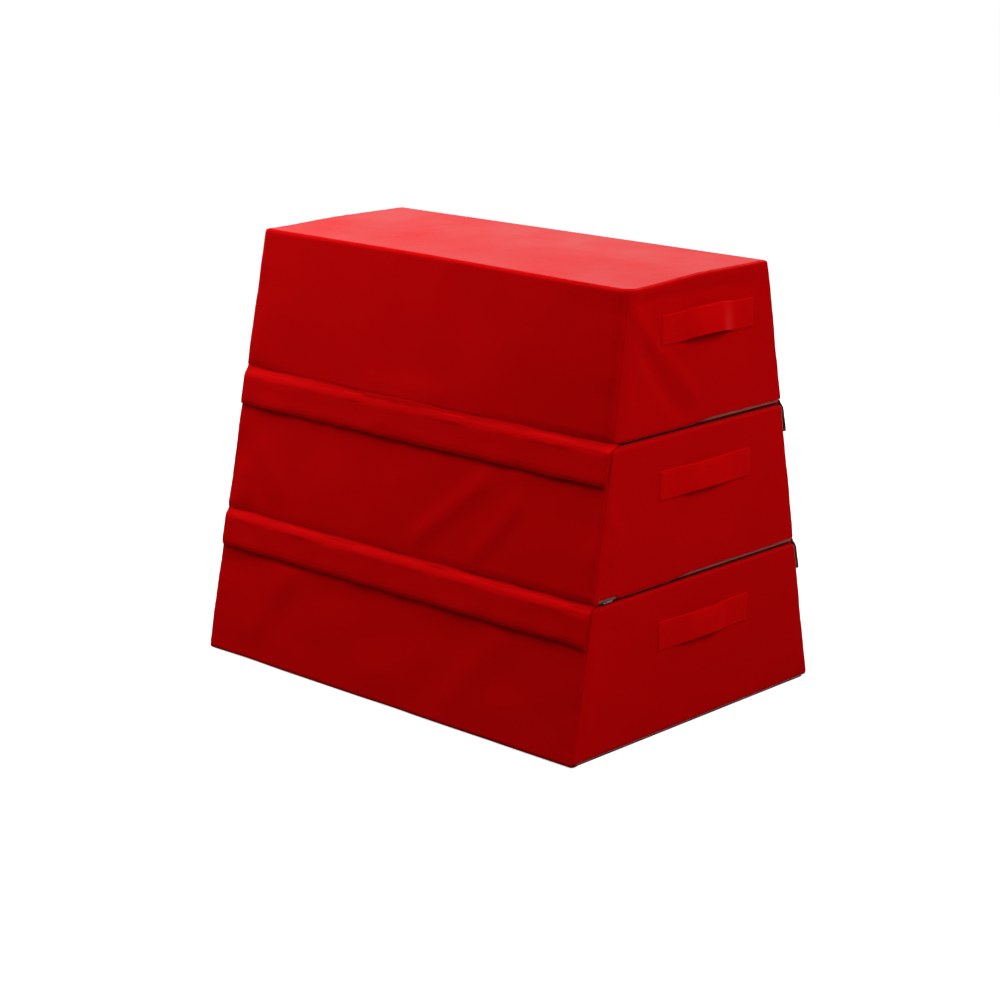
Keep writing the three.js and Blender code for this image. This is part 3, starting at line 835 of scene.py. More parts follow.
def end_panel(section, end, material, cover):
    """One end of a section's cover, sewn to the wrap on three sides, with a free hem over the zip."""
    foot, crest = FOOT[section], CREST[section]
    sole = foot + 0.6 * MM
    side = ENDS[end]
    down = spread(FINE, crest - foot - 40 * MM + FINE[-1], 7 * MM)
    down = down[down <= crest - foot - 40 * MM]
    from_front = spread(FINE, 2 * half_width(foot), 8 * MM)
    near_leg = np.arange(12, 30, 1.5) * MM
    near_slider = np.arange(60, 84, 3) * MM
    from_front = np.unique(np.round(np.concatenate([from_front, near_leg, near_slider]), 5))
    hem = hem_height(section, end, from_front)
    low_rows = np.linspace(0, 1, 14)[1:] ** 0.8
    lower = down[-1] + low_rows[:, None] * (crest - sole - hem[None, :] - down[-1])
    drop = np.vstack([np.broadcast_to(down[:, None], (len(down), len(from_front))), lower])
    sharp_z = crest - drop
    width = half_width(sharp_z)
    edge = FINE[-1]
    total = from_front[-1]
    inner = -(width - edge) + (from_front - edge) / (total - 2 * edge) * 2 * (width - edge)
    sharp_y = np.where(from_front <= edge, from_front - width,
                       np.where(from_front >= total - edge, width - (total - from_front), inner))
    sharp_x = side * half_length(sharp_z)
    radius = edge_radius(section, sharp_x, sharp_y)
    place, out = rounded(section, sharp_x, sharp_y, sharp_z, radius, TURN_UNDER, sole)
    beside = np.minimum(width + sharp_y, width - sharp_y)
    seam = np.minimum(beside, drop)
    over_hem = sharp_z - sole - hem[None, :]
    push = puff(section, place, end, seam, cover) * (0.15 + 0.85 * smooth(over_hem, 4 * MM, 52 * MM))
    push += corner_wave(place) * np.exp(-beside / 0.05) * np.abs(out[..., 1])
    hem_wave = 0.35 * MM * ripples(sharp_y, 0 * sharp_y, 5, 0.12, 0.03, 6) * np.exp(-over_hem / 0.015)
    stitched_in = 0.5 * MM * np.exp(-((over_hem - HEM_STITCH) / (1.2 * MM)) ** 2)
    push += hem_wave * smooth(beside, 0, 30 * MM)
    push -= stitched_in + 1.0 * MM * (1 - smooth(over_hem, 0, 6 * MM))
    place = place + out * push[..., None]
    place = settle(section, place)
    cloth_at = np.stack([sharp_y, sharp_z], -1)
    wear_and_highlight = worn_and_lit_edges(out, seam)
    # Painted shade along the end panel's foot, where its hem hangs low over the floor or the seam
    low_hem = 1 - np.clip(hem / PANEL_HEM, 0, 1)
    foot_shade = FOOT_SHADE_SHARE * low_hem[None, :] * np.clip(1 - over_hem / FOOT_SHADE_HEIGHT, 0, 1)
    faces = grid_faces(*sharp_y.shape)
    piece = make_mesh(f"{section}_end_panel_{end}_cloth", place, faces[:, ::side], cloth_at, wear_and_highlight, foot_shade)
    thicken(piece, CLOTH)
    dress(piece, material, "cover", f"{section}_end_panel_{end}")
    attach(piece, f"{section}_section")


def outline(z, inset, radius, steps=8):
    """A closed level line round a section, with round corners, at a height and an inset."""
    x, y = half_length(z) - inset - radius, half_width(z) - inset - radius
    points = []
    for corner, (sx, sy) in enumerate(((1, -1), (1, 1), (-1, 1), (-1, -1))):
        for step in range(steps + 1):
            turn = math.radians(-90 + 90 * corner + 90 * step / steps)
            points.append((sx * x + radius * math.cos(turn), sy * y + radius * math.sin(turn), z))
    return np.array(points)


# Foam: its gap to the outline, its corner radius, and how much lower it lies in the top section
FOAM_INSET = 9 * MM
FOAM_CORNER = 20 * MM
FOAM_SUNK = 10 * MM


def foam_block(section, material):
    """The foam inside a section, bevelled along its bottom edges to clear the zip."""
    foot, crest = FOOT[section], CREST[section] - (FOAM_SUNK if section == "top" else 0)
    inset = FOAM_INSET
    bottom_bevel = [(2.4, 17), (2.5, 16), (12, 8), (24, 1), (30, 0)]
    top_bevel = [(18, 0), (10, 1), (5.4, 4), (4.2, 8)]
    levels = [(foot + up * MM, inset + more * MM) for up, more in bottom_bevel]
    levels += [(crest - down * MM, inset + more * MM) for down, more in top_bevel]
    heights = [levels[0]]
    for (z0, i0), (z1, i1) in zip(levels, levels[1:]):
        count = max(1, round((z1 - z0) / (30 * MM)))
        heights += [(z0 + (z1 - z0) * k / count, i0 + (i1 - i0) * k / count) for k in range(1, count + 1)]
    rings = np.array([outline(z, i, FOAM_CORNER) for z, i in heights])
    points, faces = tube(rings)
    piece = make_mesh(f"{section}_foam_block", points, faces, sharp=60)
    dress(piece, material, "foam", f"{section}_foam_core")
    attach(piece, f"{section}_section")


def base_cloth(section, material):
    """The anti-slip cloth under a section, with a turned edge."""
    lowest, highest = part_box(f"{section}_base_cloth")
    fine = np.array([0, 0.4, 1, 4, 11.5, 12, 12.5]) * MM
    across = lowest.x + spread(fine, highest.x - lowest.x, 12 * MM)
    along = lowest.y + spread(fine, highest.y - lowest.y, 12 * MM)
    x, y = np.meshgrid(across, along)
    edge = np.minimum(np.minimum(x - lowest.x, highest.x - x), np.minimum(y - lowest.y, highest.y - y))
    z = lowest.z + 0.35 * MM * smooth(edge, 11.6 * MM, 12.4 * MM) + 0.3 * MM * np.exp(-edge / (0.5 * MM))
    place = np.stack([x, y, z], -1)
    piece = make_mesh(f"{section}_base_sheet", place, grid_faces(*x.shape)[:, ::-1], np.stack([x, y], -1))
    thicken(piece, 0.8 * MM)
    dress(piece, material, "base_cloth", f"{section}_base_cloth")
    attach(piece, f"{section}_section")


# Zips

def zip_path(section, stations):
    """Points on the top line of the zip facet, the direction in at each, and its height."""
    z = FOOT[section] + ZIP_TOP
    x, y = half_length(z), half_width(z)
    radius = ZIP_TURN
    straight, rear = 2 * y - ZIP_FRONT - radius, 2 * (x - radius)
    arc = radius * math.pi / 2
    bounds = np.cumsum([straight, arc, rear, arc, straight])
    part = np.minimum(np.searchsorted(bounds, stations), 4)
    start = np.concatenate([[0], bounds])[part]
    gone = stations - start
    place, inward = np.zeros((2, len(stations), 2))
    lines = {
        0: ((x, ZIP_FRONT - y), (-1, 0), (0, 1)),
        2: ((x - radius, y), (0, -1), (-1, 0)),
        4: ((-x, y - radius), (1, 0), (0, -1)),
    }
    for index, (origin, into, heading) in lines.items():
        here = part == index
        place[here] = np.array(origin) + gone[here, None] * np.array(heading)
        inward[here] = into
    for index, side, first in ((1, 1, 0), (3, -1, 90)):
        centre = (side * (x - radius), y - radius)
        here = part == index
        turn = math.radians(first) + gone[here] / radius
        away = np.stack([np.cos(turn), np.sin(turn)], -1)
        place[here] = np.array(centre) + radius * away
        inward[here] = -away
    return place, inward, z


def zip_length(section):
    """Length of a zip from one front corner round the rear to the other."""
    z = FOOT[section] + ZIP_TOP
    ends = 2 * (2 * half_width(z) - ZIP_FRONT - ZIP_TURN)
    return ends + 2 * (half_length(z) - ZIP_TURN) + ZIP_TURN * math.pi


def on_zip(section, stations, down, out):
    """Places on the zip at distances along it, down its facet and out of it."""
    place, inward, z = zip_path(section, stations)
    inset = down * FACET_IN - out * FACET_DOWN
    height = z - down * FACET_DOWN - out * FACET_IN
    return np.concatenate([place + inward * inset[:, None], height[:, None]], -1)


# Zip tape: how far each half reaches past the facet's edge and sinks in there, its thickness, and its steps
TAPE_PAST = {"cover": 3.5 * MM, "base": 1.0 * MM}
TAPE_SUNK = {"cover": 3.0 * MM, "base": 1.2 * MM}
TAPE_SKIN = 0.45 * MM
TAPE_STEP = 9 * MM


def zip_half(section, half, tape_material, coil_material, tooth):
    """One half of a zip: a woven tape with its edge tucked behind the cloth, and its row of coil turns."""
    length = zip_length(section)
    middle = ZIP_WIDTH / 2
    side = -1 if half == "cover" else 1
    sunk = TAPE_SUNK[half]
    profile = curve_through([
        (middle + side * (middle + TAPE_PAST[half]), -sunk), (middle + side * middle * 0.85, -0.75 * sunk),
        (middle + side * 3.2 * MM, -0.45 * MM), (middle + side * 0.9 * MM, -0.1 * MM),
    ], 3)
    loop = np.vstack([profile, profile[::-1] - [0, TAPE_SKIN]])
    stations = np.unique(np.concatenate([np.arange(0, length, TAPE_STEP), [length]]))
    rings = np.stack([on_zip(section, stations, np.full(len(stations), d), np.full(len(stations), o))
                      for d, o in loop], 1)
    points, faces = tube(rings)
    across = np.concatenate([[0], np.cumsum(np.hypot(*np.diff(loop, axis=0).T))])
    cloth_at = np.stack(np.meshgrid(across, stations), -1)
    if side > 0:
        faces = [face[::-1] for face in faces]
    tape = make_mesh(f"{section}_zip_{half}_tape", points, faces, cloth_at)
    dress(tape, tape_material, "zip_tape", f"{section}_zip_{half}_half")
    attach(tape, f"{section}_section")
    coil = zip_coil(section, half, side, length, tooth)
    dress(coil, coil_material, "zip_tape")
    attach(coil, f"{section}_section")


def zip_coil(section, half, side, length, tooth):
    """The coil turns of one zip half, each a small rounded bar whose head passes the middle line."""
    middle = ZIP_WIDTH / 2
    count = int(length / tooth) - 1
    centre = tooth * (np.arange(count) + (0.5 if side < 0 else 1.0))
    ring = [(-1, 0.05), (-0.7, 0.55), (0, 0.75), (0.7, 0.55), (1, 0.05)]
    rows = []
    for share, swell in ((0.0, 0.7), (0.3, 1.0), (0.75, 1.0), (1.0, 0.6)):
        down = middle + side * (2.1 * MM - share * 2.6 * MM)
        lean = tooth * 0.22 * share
        for across, out in ring:
            station = centre + lean + across * swell * tooth * 0.2
            rows.append(on_zip(section, station, np.full(count, down), np.full(count, out * swell * MM)))
    points = np.stack(rows, 1)
    size = len(ring)
    faces = grid_faces(4, size).tolist()
    faces.append([r * size for r in range(4)] + [r * size + size - 1 for r in (3, 2, 1, 0)])
    faces += [list(range(size)), [3 * size + i for i in range(size)][::-1]]
    faces = [face[::-1] if side > 0 else face for face in faces]
    everything = [[i * 4 * size + corner for corner in face] for i in range(count) for face in faces]
    return make_mesh(f"{section}_zip_{half}_coil", points, everything)


# Flaps and their tapes

def on_face(side, height, out, down):
    """Y and Z of a place out of a long face and down it from a height."""
    y = side * (half_width(height) + (out + down * SIDE_SLOPE) / SLANT)
    return y, height + (out * SIDE_SLOPE - down) / SLANT


def corner_inset(section, face, x):
    """How far a long face has turned in at its rounded corners, along X."""
    radius = corner_radius(section, x, np.full(np.shape(x), float(FACES[face])))
    from_corner = np.clip(half_length(FOOT[section]) - np.abs(x), 0, radius)
    return radius - np.sqrt(radius ** 2 - (radius - from_corner) ** 2)


# How far a flap's outer side stands out of the face
FLAP_SKIN = FLAP_OUT + FLAP_THICKNESS
# Its outer side below the roll: mm down the face, and mm that it stands out more
DOMED = ((27, 0.35), (36, 0.35), (45, 0.4), (54, 0.6), (61, 0.7), (66, 0.5), (69.5, -0.1), (72.5, -1.0))
# Its two rows of stitches: mm down the face, and mm out of its skin. The lower one sinks in
FLAP_ROWS = ((23.5, 0.22), (61.0, 0.45))
SUNK_ROW = 0.3 * MM
# A soft bulge left of the middle
BULGE = 1.0 * MM
BULGE_AT = -85 * MM
BULGE_REACH = 30 * MM
# Front flaps: how far their ends lie tucked in, and how much their roll rises at the left end
END_TUCK = 0.9 * MM
LEFT_RISE = 3 * MM
# Rear flaps at their ends: how far they flare out, how far their ends thicken inward, how much edge and
# roll rise
REAR_FLARE = 3.2 * MM
REAR_END_THICKENING = 5.4 * MM
REAR_EDGE_RISE = 13 * MM
REAR_ROLL_RISE = 4.5 * MM


def flap_profile(foot):
    """A flap's cross-section, out and up from its sewn edge, and which points are outer and inner."""
    def strip(out, down):
        y, z = on_face(1, foot, out, down)
        return (y - half_width(foot)) / MM, (z - foot) / MM

    outer = [(-12, 1.0), (-6.5, 1.1), (-3.6, 2.2), (-1.9, 4.2)]
    for step in np.linspace(0, 1, 12):
        rolled = (FLAP_SKIN + ROLL_SWELL) * smooth(step, 0, 1) - 0.15 * MM
        outer.append(strip(rolled, step * (ROLL_DOWN + ROLL_UP) - ROLL_UP))
    outer += [strip(FLAP_SKIN + swell * MM, down * MM) for down, swell in DOMED]
    bottom = [
        strip(FLAP_SKIN - 1.3 * MM, FLAP_DROP - 1.6 * MM), strip(FLAP_SKIN - 1.7 * MM, FLAP_DROP),
        strip(FLAP_OUT + 0.4 * MM, FLAP_DROP), strip(FLAP_OUT + 0.1 * MM, FLAP_DROP - 1.6 * MM),
    ]
    inner = [strip(FLAP_OUT, down * MM) for down in (68, 50, 30, 16)]
    inner += [strip(FLAP_OUT - 0.9 * MM, 9 * MM), (1.8, -2.4), (0.6, -0.6), (-1, 0.1), (-12, 0.1)]
    line = np.vstack([curve_through(outer, 2), curve_through(bottom, 3), curve_through(inner, 2)]) * MM
    index, turned = np.arange(len(line)), 2 * (len(outer) - 1)
    inner_side = (index >= turned + 3 * (len(bottom) - 1)) & (line[:, 0] > 0.7 * MM)
    return line, index < turned, inner_side


def flap_stations(reach):
    """Places along a flap, close together at its ends."""
    close = np.array([1.2, 2.4, 4, 6, 8, 10, 13, 17, 22]) * MM
    inner = spread(close, 2 * reach, 7 * MM) - reach
    x = np.concatenate([[-reach, -reach + 0.4 * MM], inner, [reach - 0.4 * MM, reach]])
    return np.unique(np.round(x, 6))[:, None]


def flap(section, face, material, end_shade, settings_):
    """A flap sewn in under a section's long bottom edge, rolled over at the top, hanging down the face."""
    side, foot = FACES[face], FOOT[section]
    under = SECTIONS[SECTIONS.index(section) - 1]
    reach = high(f"{section}_flap_{face}").x
    x = flap_stations(reach)
    from_end = reach - np.abs(x)
    line, outside, inner_side = flap_profile(foot)
    line_out, line_up = line.T
    drop = np.clip(-line_up / FLAP_DROP, 0, 1)
    seed = SECTIONS.index(section) * 3 + (face == "front")

    def uneven(more, longest, shortest):
        return ripples(x, 0 * x, seed + more, longest, shortest, 9)

    loose = settings_.wave * (0.5 + uneven(0, 0.35, 0.07)) * drop ** 2
    high_line = window(line_out, -3 * MM, 6 * MM, 2 * MM) * smooth(line_up, -6 * MM, 4 * MM)
    rise = 0.9 * MM * uneven(20, 0.30, 0.04) * high_line
    swell = 0.7 * MM * uneven(60, 0.26, 0.05) * window(line_up, -12 * MM, 2 * MM, 8 * MM)
    swell = swell * (line_out > 2 * MM)
    ragged = 0.9 * MM * uneven(40, 0.3, 0.05) * smooth(drop, 0.75, 1.0)
    from_row = drop * FLAP_DROP - FLAP_ROWS[1][0] * MM
    stitched = outside * SUNK_ROW * np.exp(-(from_row / (0.9 * MM)) ** 2)
    bulge = BULGE * np.exp(-((x - BULGE_AT) / BULGE_REACH) ** 2) * window(drop, 0.2, 0.6, 0.2)
    top_share = smooth(line_up, -9 * MM, 5 * MM)
    follow = corner_inset(section, face, x) * top_share + corner_inset(under, face, x) * (1 - top_share)
    into = groove_depth(section, face, x) * groove_share(ROLL_UP) * top_share
    out = line_out - into - follow + loose + swell - stitched + bulge
    up = line_up + rise + ragged
    # Its end edges are rounded where it hangs free
    squeeze = np.where(from_end < 0.2 * MM, 0.6, np.where(from_end < 0.8 * MM, 0.85, 1.0))
    thick_middle = (FLAP_OUT + FLAP_THICKNESS / 2 + drop * FLAP_DROP * SIDE_SLOPE) / SLANT - follow
    out = np.where(line_up < -5 * MM, thick_middle + (out - thick_middle) * squeeze, out)
    if face == "front":
        upper = window(line_up, -30 * MM, 3 * MM, 12 * MM) * (outside & (line_out > -2.5 * MM))
        level = (FLAP_SKIN + ROLL_SWELL) / SLANT + np.maximum(-line_up, 0) * SIDE_SLOPE
        roll = np.interp(x, GROOVE_AT, ROLLS[section])
        out = out + (1 - roll) * np.maximum(level - line_out, 0) * upper
        out = out - END_TUCK * (1 - smooth(from_end, 0, 10 * MM)) * (1 - top_share)
        up = up + LEFT_RISE * (1 - smooth(reach + x, 0, 22 * MM)) * high_line
    else:
        end_share = 1 - smooth(from_end, 0, 40 * MM)
        thick_end = (1 - smooth(from_end, 3 * MM, 7 * MM)) * inner_side * smooth(drop, 0.0, 0.08)
        out = out + REAR_FLARE * end_share * smooth(line_out, -1 * MM, 3 * MM) - REAR_END_THICKENING * thick_end
        up = up + REAR_EDGE_RISE * end_share * smooth(drop, 0.1, 1.0)
        up = up + REAR_ROLL_RISE * end_share * high_line
    place = np.stack([np.broadcast_to(x, out.shape), side * (half_width(foot) + out), foot + up], -1)
    points, faces = tube(place)
    if side < 0:
        faces = [loop[::-1] for loop in faces]
    around = np.concatenate([[0], np.cumsum(np.hypot(*np.diff(line, axis=0).T))])
    cloth_at = np.stack(np.meshgrid(around, x), -1)
    # Painted highlight: the roll at the flap's top is lightened in the cloth's colour
    rolled = window(line_up, -3 * MM, 9 * MM, 5 * MM) * (line_out > 0)
    wear_and_highlight = np.broadcast_to(np.clip(rolled, 0, 1), out.shape)
    piece = make_mesh(f"{section}_flap_{face}_cloth", points, faces, cloth_at, wear_and_highlight)
    dress(piece, material, "flap", f"{section}_flap_{face}")
    # Painted shade on the rear flaps' end edges: a dark cloth stands for the shade and the dark tape ends
    # seen there
    if face == "rear":
        piece.data.materials.append(end_shade)
        for polygon in piece.data.polygons:
            polygon.material_index = int(abs(polygon.center.x) > reach - 1.0 * MM)
    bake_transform(piece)


def grip_tape(node, body, slot, material, side, foot):
    """A hook or loop tape in its packed place, with a slightly raised pile and flat sewn borders."""
    lowest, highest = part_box(node)
    is_hook = "hook" in node
    near, far = (FLAP_OUT - 1.9 * MM, FLAP_OUT - 0.3 * MM) if is_hook else (0.3 * MM, 1.7 * MM)
    flat_side, pile_side = (far, near) if is_hook else (near, far)
    thin = flat_side + (pile_side - flat_side) * 0.55
    profile = [
        (flat_side, TAPE_TOP), (thin, TAPE_TOP), (thin, TAPE_TOP + 2.5), (pile_side, TAPE_TOP + 3.6),
        (pile_side, TAPE_FOOT - 3.6), (thin, TAPE_FOOT - 2.5), (thin, TAPE_FOOT), (flat_side, TAPE_FOOT),
    ]
    x = np.linspace(lowest.x + TAPE_IN, highest.x - TAPE_IN, 90)
    spots = np.array([on_face(side, foot, out, down * MM) for out, down in profile])
    rings = np.stack([np.stack([x, np.full(len(x), y), np.full(len(x), z)], -1) for y, z in spots], 1)
    points, faces = tube(rings)
    if (side < 0) != is_hook:
        faces = [face[::-1] for face in faces]
    piece = make_mesh(f"{node}_strip", points, faces, sharp=25)
    dress(piece, material, slot, node)
    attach(piece, body)


# Handles

def strap_line(section, end):
    """Distances along a strap from its middle, how far its inside stands out, and how far it rides up."""
    _, _, _, half_run = handle_place(section, end)
    tab_x = [abs(v.x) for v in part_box(f"{section}_handle_tab_{end}_front")]
    strap_x = [abs(v.x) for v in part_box(f"{section}_handle_strap_{end}")]
    bow = max(strap_x) - max(tab_x)
    loose = half_run - HANDLE_TAB - 0.5 * MM
    sewn = np.array([0, 0.4, 1.2, 3, 8, 20, 32, 41]) * MM
    along = np.concatenate([np.linspace(-loose, loose, 61), half_run - sewn, sewn - half_run])
    along = np.unique(along.round(6))
    arch = smooth(along, -loose, -0.42 * loose) * (1 - smooth(along, 0.08 * loose, loose))
    return along, arch, bow, half_run


# Where a strap bows: how far its edges cup in, and how far its upper edge leans in and its lower one out
STRAP_CUP = 1.2 * MM
STRAP_LEAN = {"bottom": 1.5 * MM, "middle": 1.5 * MM, "top": 4.5 * MM}


def handle(section, end, material, settings_):
    """A strap sewn down at both ends, with its loose middle bowed out of the end panel."""
    middle, height, half_rise, _ = handle_place(section, end)
    along, arch, bow, half_run = strap_line(section, end)
    station, arch = along[:, None], arch[:, None]
    side = ENDS[end]
    lift = settings_.lift * (1.0 if section == "top" else 0.35)
    rim = np.array([(-1, 0.5), (-0.985, 0.85), (-0.95, 1.0), (-0.86, 1.0), (-0.8, 0.94), (-0.74, 1.0)])
    row = np.concatenate([rim[:, 0], np.linspace(-0.6, 0.6, 9), -rim[::-1, 0]])
    skin_out = np.concatenate([rim[:, 1], np.ones(9), rim[::-1, 1]])
    under = np.linspace(0.95, -0.95, 9)
    across = np.concatenate([row, under]) * half_rise
    depth = np.concatenate([skin_out * STRAP_THICKNESS, np.zeros(9)])
    seed = SECTIONS.index(section) * 2 + (end == "right")
    cup = (across / half_rise) ** 2
    lean = math.atan(END_SLOPE)
    out = HANDLE_OUT + bow * arch + depth - STRAP_CUP * arch * cup
    out = out - STRAP_LEAN[section] * arch * across / half_rise
    out = out + 0.5 * MM * arch * ripples(station, across, seed, 0.12, 0.04, 6)
    from_tip = half_run - np.abs(station)
    end_round = np.where(from_tip < 0.2 * MM, 0.55, np.where(from_tip < 0.8 * MM, 0.85, 1.0))
    out = HANDLE_OUT + (out - HANDLE_OUT) * end_round
    up = across * (1 - 0.05 * arch) + lift * arch
    up = up + 0.5 * MM * ripples(station, 0 * across, seed + 9, 0.14, 0.05, 5) * arch
    x = side * (half_length(height) + out * math.cos(lean) - up * math.sin(lean))
    z = height + out * math.sin(lean) + up * math.cos(lean)
    y = middle + side * np.broadcast_to(station, x.shape)
    points, faces = tube(np.stack([x, y, z], -1))
    faces = [face[::-1] for face in faces]
    around = np.concatenate([[0], np.cumsum(np.abs(np.diff(across)))])
    cloth_at = np.stack(np.meshgrid(around, along), -1)
    # Rubbed wear along the strap's edges, and painted highlight on its bowed middle
    wear_and_highlight = np.broadcast_to(np.clip((cup > 0.9) * 0.9 + 0.25 * arch, 0, 1), x.shape)
    piece = make_mesh(f"{section}_handle_{end}_strap", points, faces, cloth_at, wear_and_highlight, sharp=60)
    dress(piece, material, "strap", f"{section}_handle_strap_{end}", f"{section}_handle_tab_{end}_front",
          f"{section}_handle_tab_{end}_rear")
    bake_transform(piece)


def stitches(name, lines, out, length, radius, material, slot, body):
    """Rows of short thread stitches along lines, half sunk in cloth that faces out in a given direction."""
    points, faces = [], []
    out = Vector(out).normalized()
    for start, end in lines:
        start, end = Vector(start), Vector(end)
        run = end - start
        count = max(1, int(run.length / (length + STITCH_GAP)))
        heading = run.normalized()
        beside = heading.cross(out)
        for index in range(count):
            centre = start + heading * ((index + 0.5) * run.length / count)
            first = len(points)
            for share, swell in ((-0.5, 0.35), (-0.36, 0.9), (0.36, 0.9), (0.5, 0.35)):
                for turn in range(6):
                    angle = turn * math.pi / 3
                    offset = beside * math.cos(angle) + out * math.sin(angle)
                    points.append(centre + heading * share * length + offset * radius * swell)
            ring = grid_faces(4, 6, closed=True) + first
            faces += ring.tolist()
            faces += [[first + i for i in range(5, -1, -1)], [first + 18 + i for i in range(6)]]
    piece = make_mesh(name, np.array([tuple(p) for p in points]), faces)
    dress(piece, material, slot)
    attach(piece, body)


# Stitching on a handle's tabs: its gap to the strap's tip, and to its other edges
TIP_GAP = 4 * MM
EDGE_GAP = 5 * MM


def tab_stitching(section, end, material, length):
    """A box with a cross sewn on each tab of a handle."""
    middle, height, half_rise, half_run = handle_place(section, end)
    side = ENDS[end]
    lean = math.atan(END_SLOPE)
    out = HANDLE_OUT + STRAP_THICKNESS + 0.05 * MM
    lines = []
    for near in (-1, 1):
        outer, inner = near * (half_run - TIP_GAP), near * (half_run - HANDLE_TAB + EDGE_GAP)
        tall = half_rise - EDGE_GAP

        def spot(along, up):
            return (side * (half_length(height) + out * math.cos(lean) - up * math.sin(lean)),
                    middle + side * along, height + out * math.sin(lean) + up * math.cos(lean))

        box = [(outer, -tall), (outer, tall), (inner, tall), (inner, -tall)]
        lines += [(spot(*p), spot(*q)) for p, q in zip(box, box[1:] + box[:1])]
        lines += [(spot(outer, -tall), spot(inner, tall)), (spot(outer, tall), spot(inner, -tall))]
    stitches(f"{section}_handle_{end}_stitching", lines, (side, 0, END_SLOPE), length, STRAP_THREAD,
             material, "strap", f"{section}_section")


def flap_stitching(section, face, material, length):
    """The two rows that hold the hook tape, sewn through a flap."""
    side, foot = FACES[face], FOOT[section]
    reach = high(f"{section}_flap_{face}").x - 3 * MM
    lines = []
    for down, swell in FLAP_ROWS:
        y, z = on_face(side, foot, FLAP_SKIN + swell * MM, down * MM)
        lines.append(((-reach, y, z), (reach, y, z)))
    stitches(f"{section}_flap_{face}_stitching", lines, (0, side, SIDE_SLOPE), length, FLAP_THREAD,
             material, "flap", f"{section}_flap_{face}")


# Zip slider and pull

def on_slider(section, points):
    """Takes (down the zip, along it, out of it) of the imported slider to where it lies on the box."""
    lowest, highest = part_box(f"{section}_zip_slider")
    side = 1 if highest.x > 0 else -1
    centre_y = (lowest.y + highest.y) / 2
    z = FOOT[section] + ZIP_TOP
    down, along, out = np.asarray(points, float).T
    inset = down * FACET_IN - out * FACET_DOWN
    return np.stack([side * (half_length(z) - inset), centre_y + along,
                     z - down * FACET_DOWN - out * FACET_IN], -1), side


def plate(shape, low_out, high_out, bevel):
    """Rings of a flat plate of a given outline, with bevelled edges."""
    shape = np.array(shape, float)
    middle = (shape.max(0) + shape.min(0)) / 2
    span = (shape.max(0) - shape.min(0)) / 2
    rings = []
    for out, inset in ((low_out, bevel), (low_out + bevel, 0), (high_out - bevel, 0), (high_out, bevel)):
        shrunk = middle + (shape - middle) * (1 - inset / span)
        rings.append(np.column_stack([shrunk, np.full(len(shape), out)]))
    return np.array(rings)


def joined(parts):
    """Points and faces of several closed tubes in one mesh."""
    points, faces, first = [], [], 0
    for rings in parts:
        spots, sides = tube(rings)
        points.append(spots)
        faces += [[corner + first for corner in face] for face in sides]
        first += len(spots)
    return np.concatenate(points), faces


SLIDER_WIDTH = 8 * MM


def zip_slider(section, material):
    """The slider: a shield-shaped plate over the coil, its lower plate, the post, and an arched bail."""
    middle = ZIP_WIDTH / 2
    half = SLIDER_WIDTH / 2
    right_half = [(0.5, -1.42), (0.62, -1.5), (0.85, -1.2), (1.0, -0.4)]
    right_half += [(1.0, 0.3), (0.8, 1.1), (0.5, 1.45), (0.15, 1.5)]
    left_half = [(-x, y) for x, y in reversed(right_half)]
    shield = left_half[-2:] + right_half + left_half[:-2]
    shield = [(middle + x * half, y * half) for x, y in shield]
    lower = [(middle + (x - middle) * 0.85, y * 0.9) for x, y in shield]
    post = [(middle - 0.3 * MM, -2.5 * MM), (middle + 0.3 * MM, -2.5 * MM), (middle + 0.3 * MM, 2.5 * MM),
            (middle - 0.3 * MM, 2.5 * MM)]
    arch = []
    for step in range(13):
        turn = math.pi * step / 12
        reach, rise = -3.5 * MM * math.cos(turn), 2.2 * MM + 2.8 * MM * math.sin(turn) ** 0.7
        normal = Vector((-math.cos(turn), math.sin(turn)))
        ring = []
        for k in range(8):
            angle = k * math.pi / 4
            across, thick = 1.0 * MM * math.cos(angle), 0.5 * MM * math.sin(angle)
            ring.append((middle + across, reach + normal.x * thick, rise + normal.y * thick))
        arch.append(ring)
    parts = [plate(shield, 0.8 * MM, 2.2 * MM, 0.3 * MM), plate(lower, -2.8 * MM, -2.0 * MM, 0.2 * MM),
             plate(post, -2.2 * MM, 1.0 * MM, 0.05 * MM), np.array(arch)]
    points, faces = joined(parts)
    points, side = on_slider(section, points)
    faces = faces if side > 0 else [face[::-1] for face in faces]
    piece = make_mesh(f"{section}_zip_slider_body", points, faces, sharp=35)
    dress(piece, material, "zip_metal", f"{section}_zip_slider")
    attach(piece, f"{section}_zip_slider")


# Middle of the pull's tongue, in mm from its bar
PULL_MIDDLE = 13.6


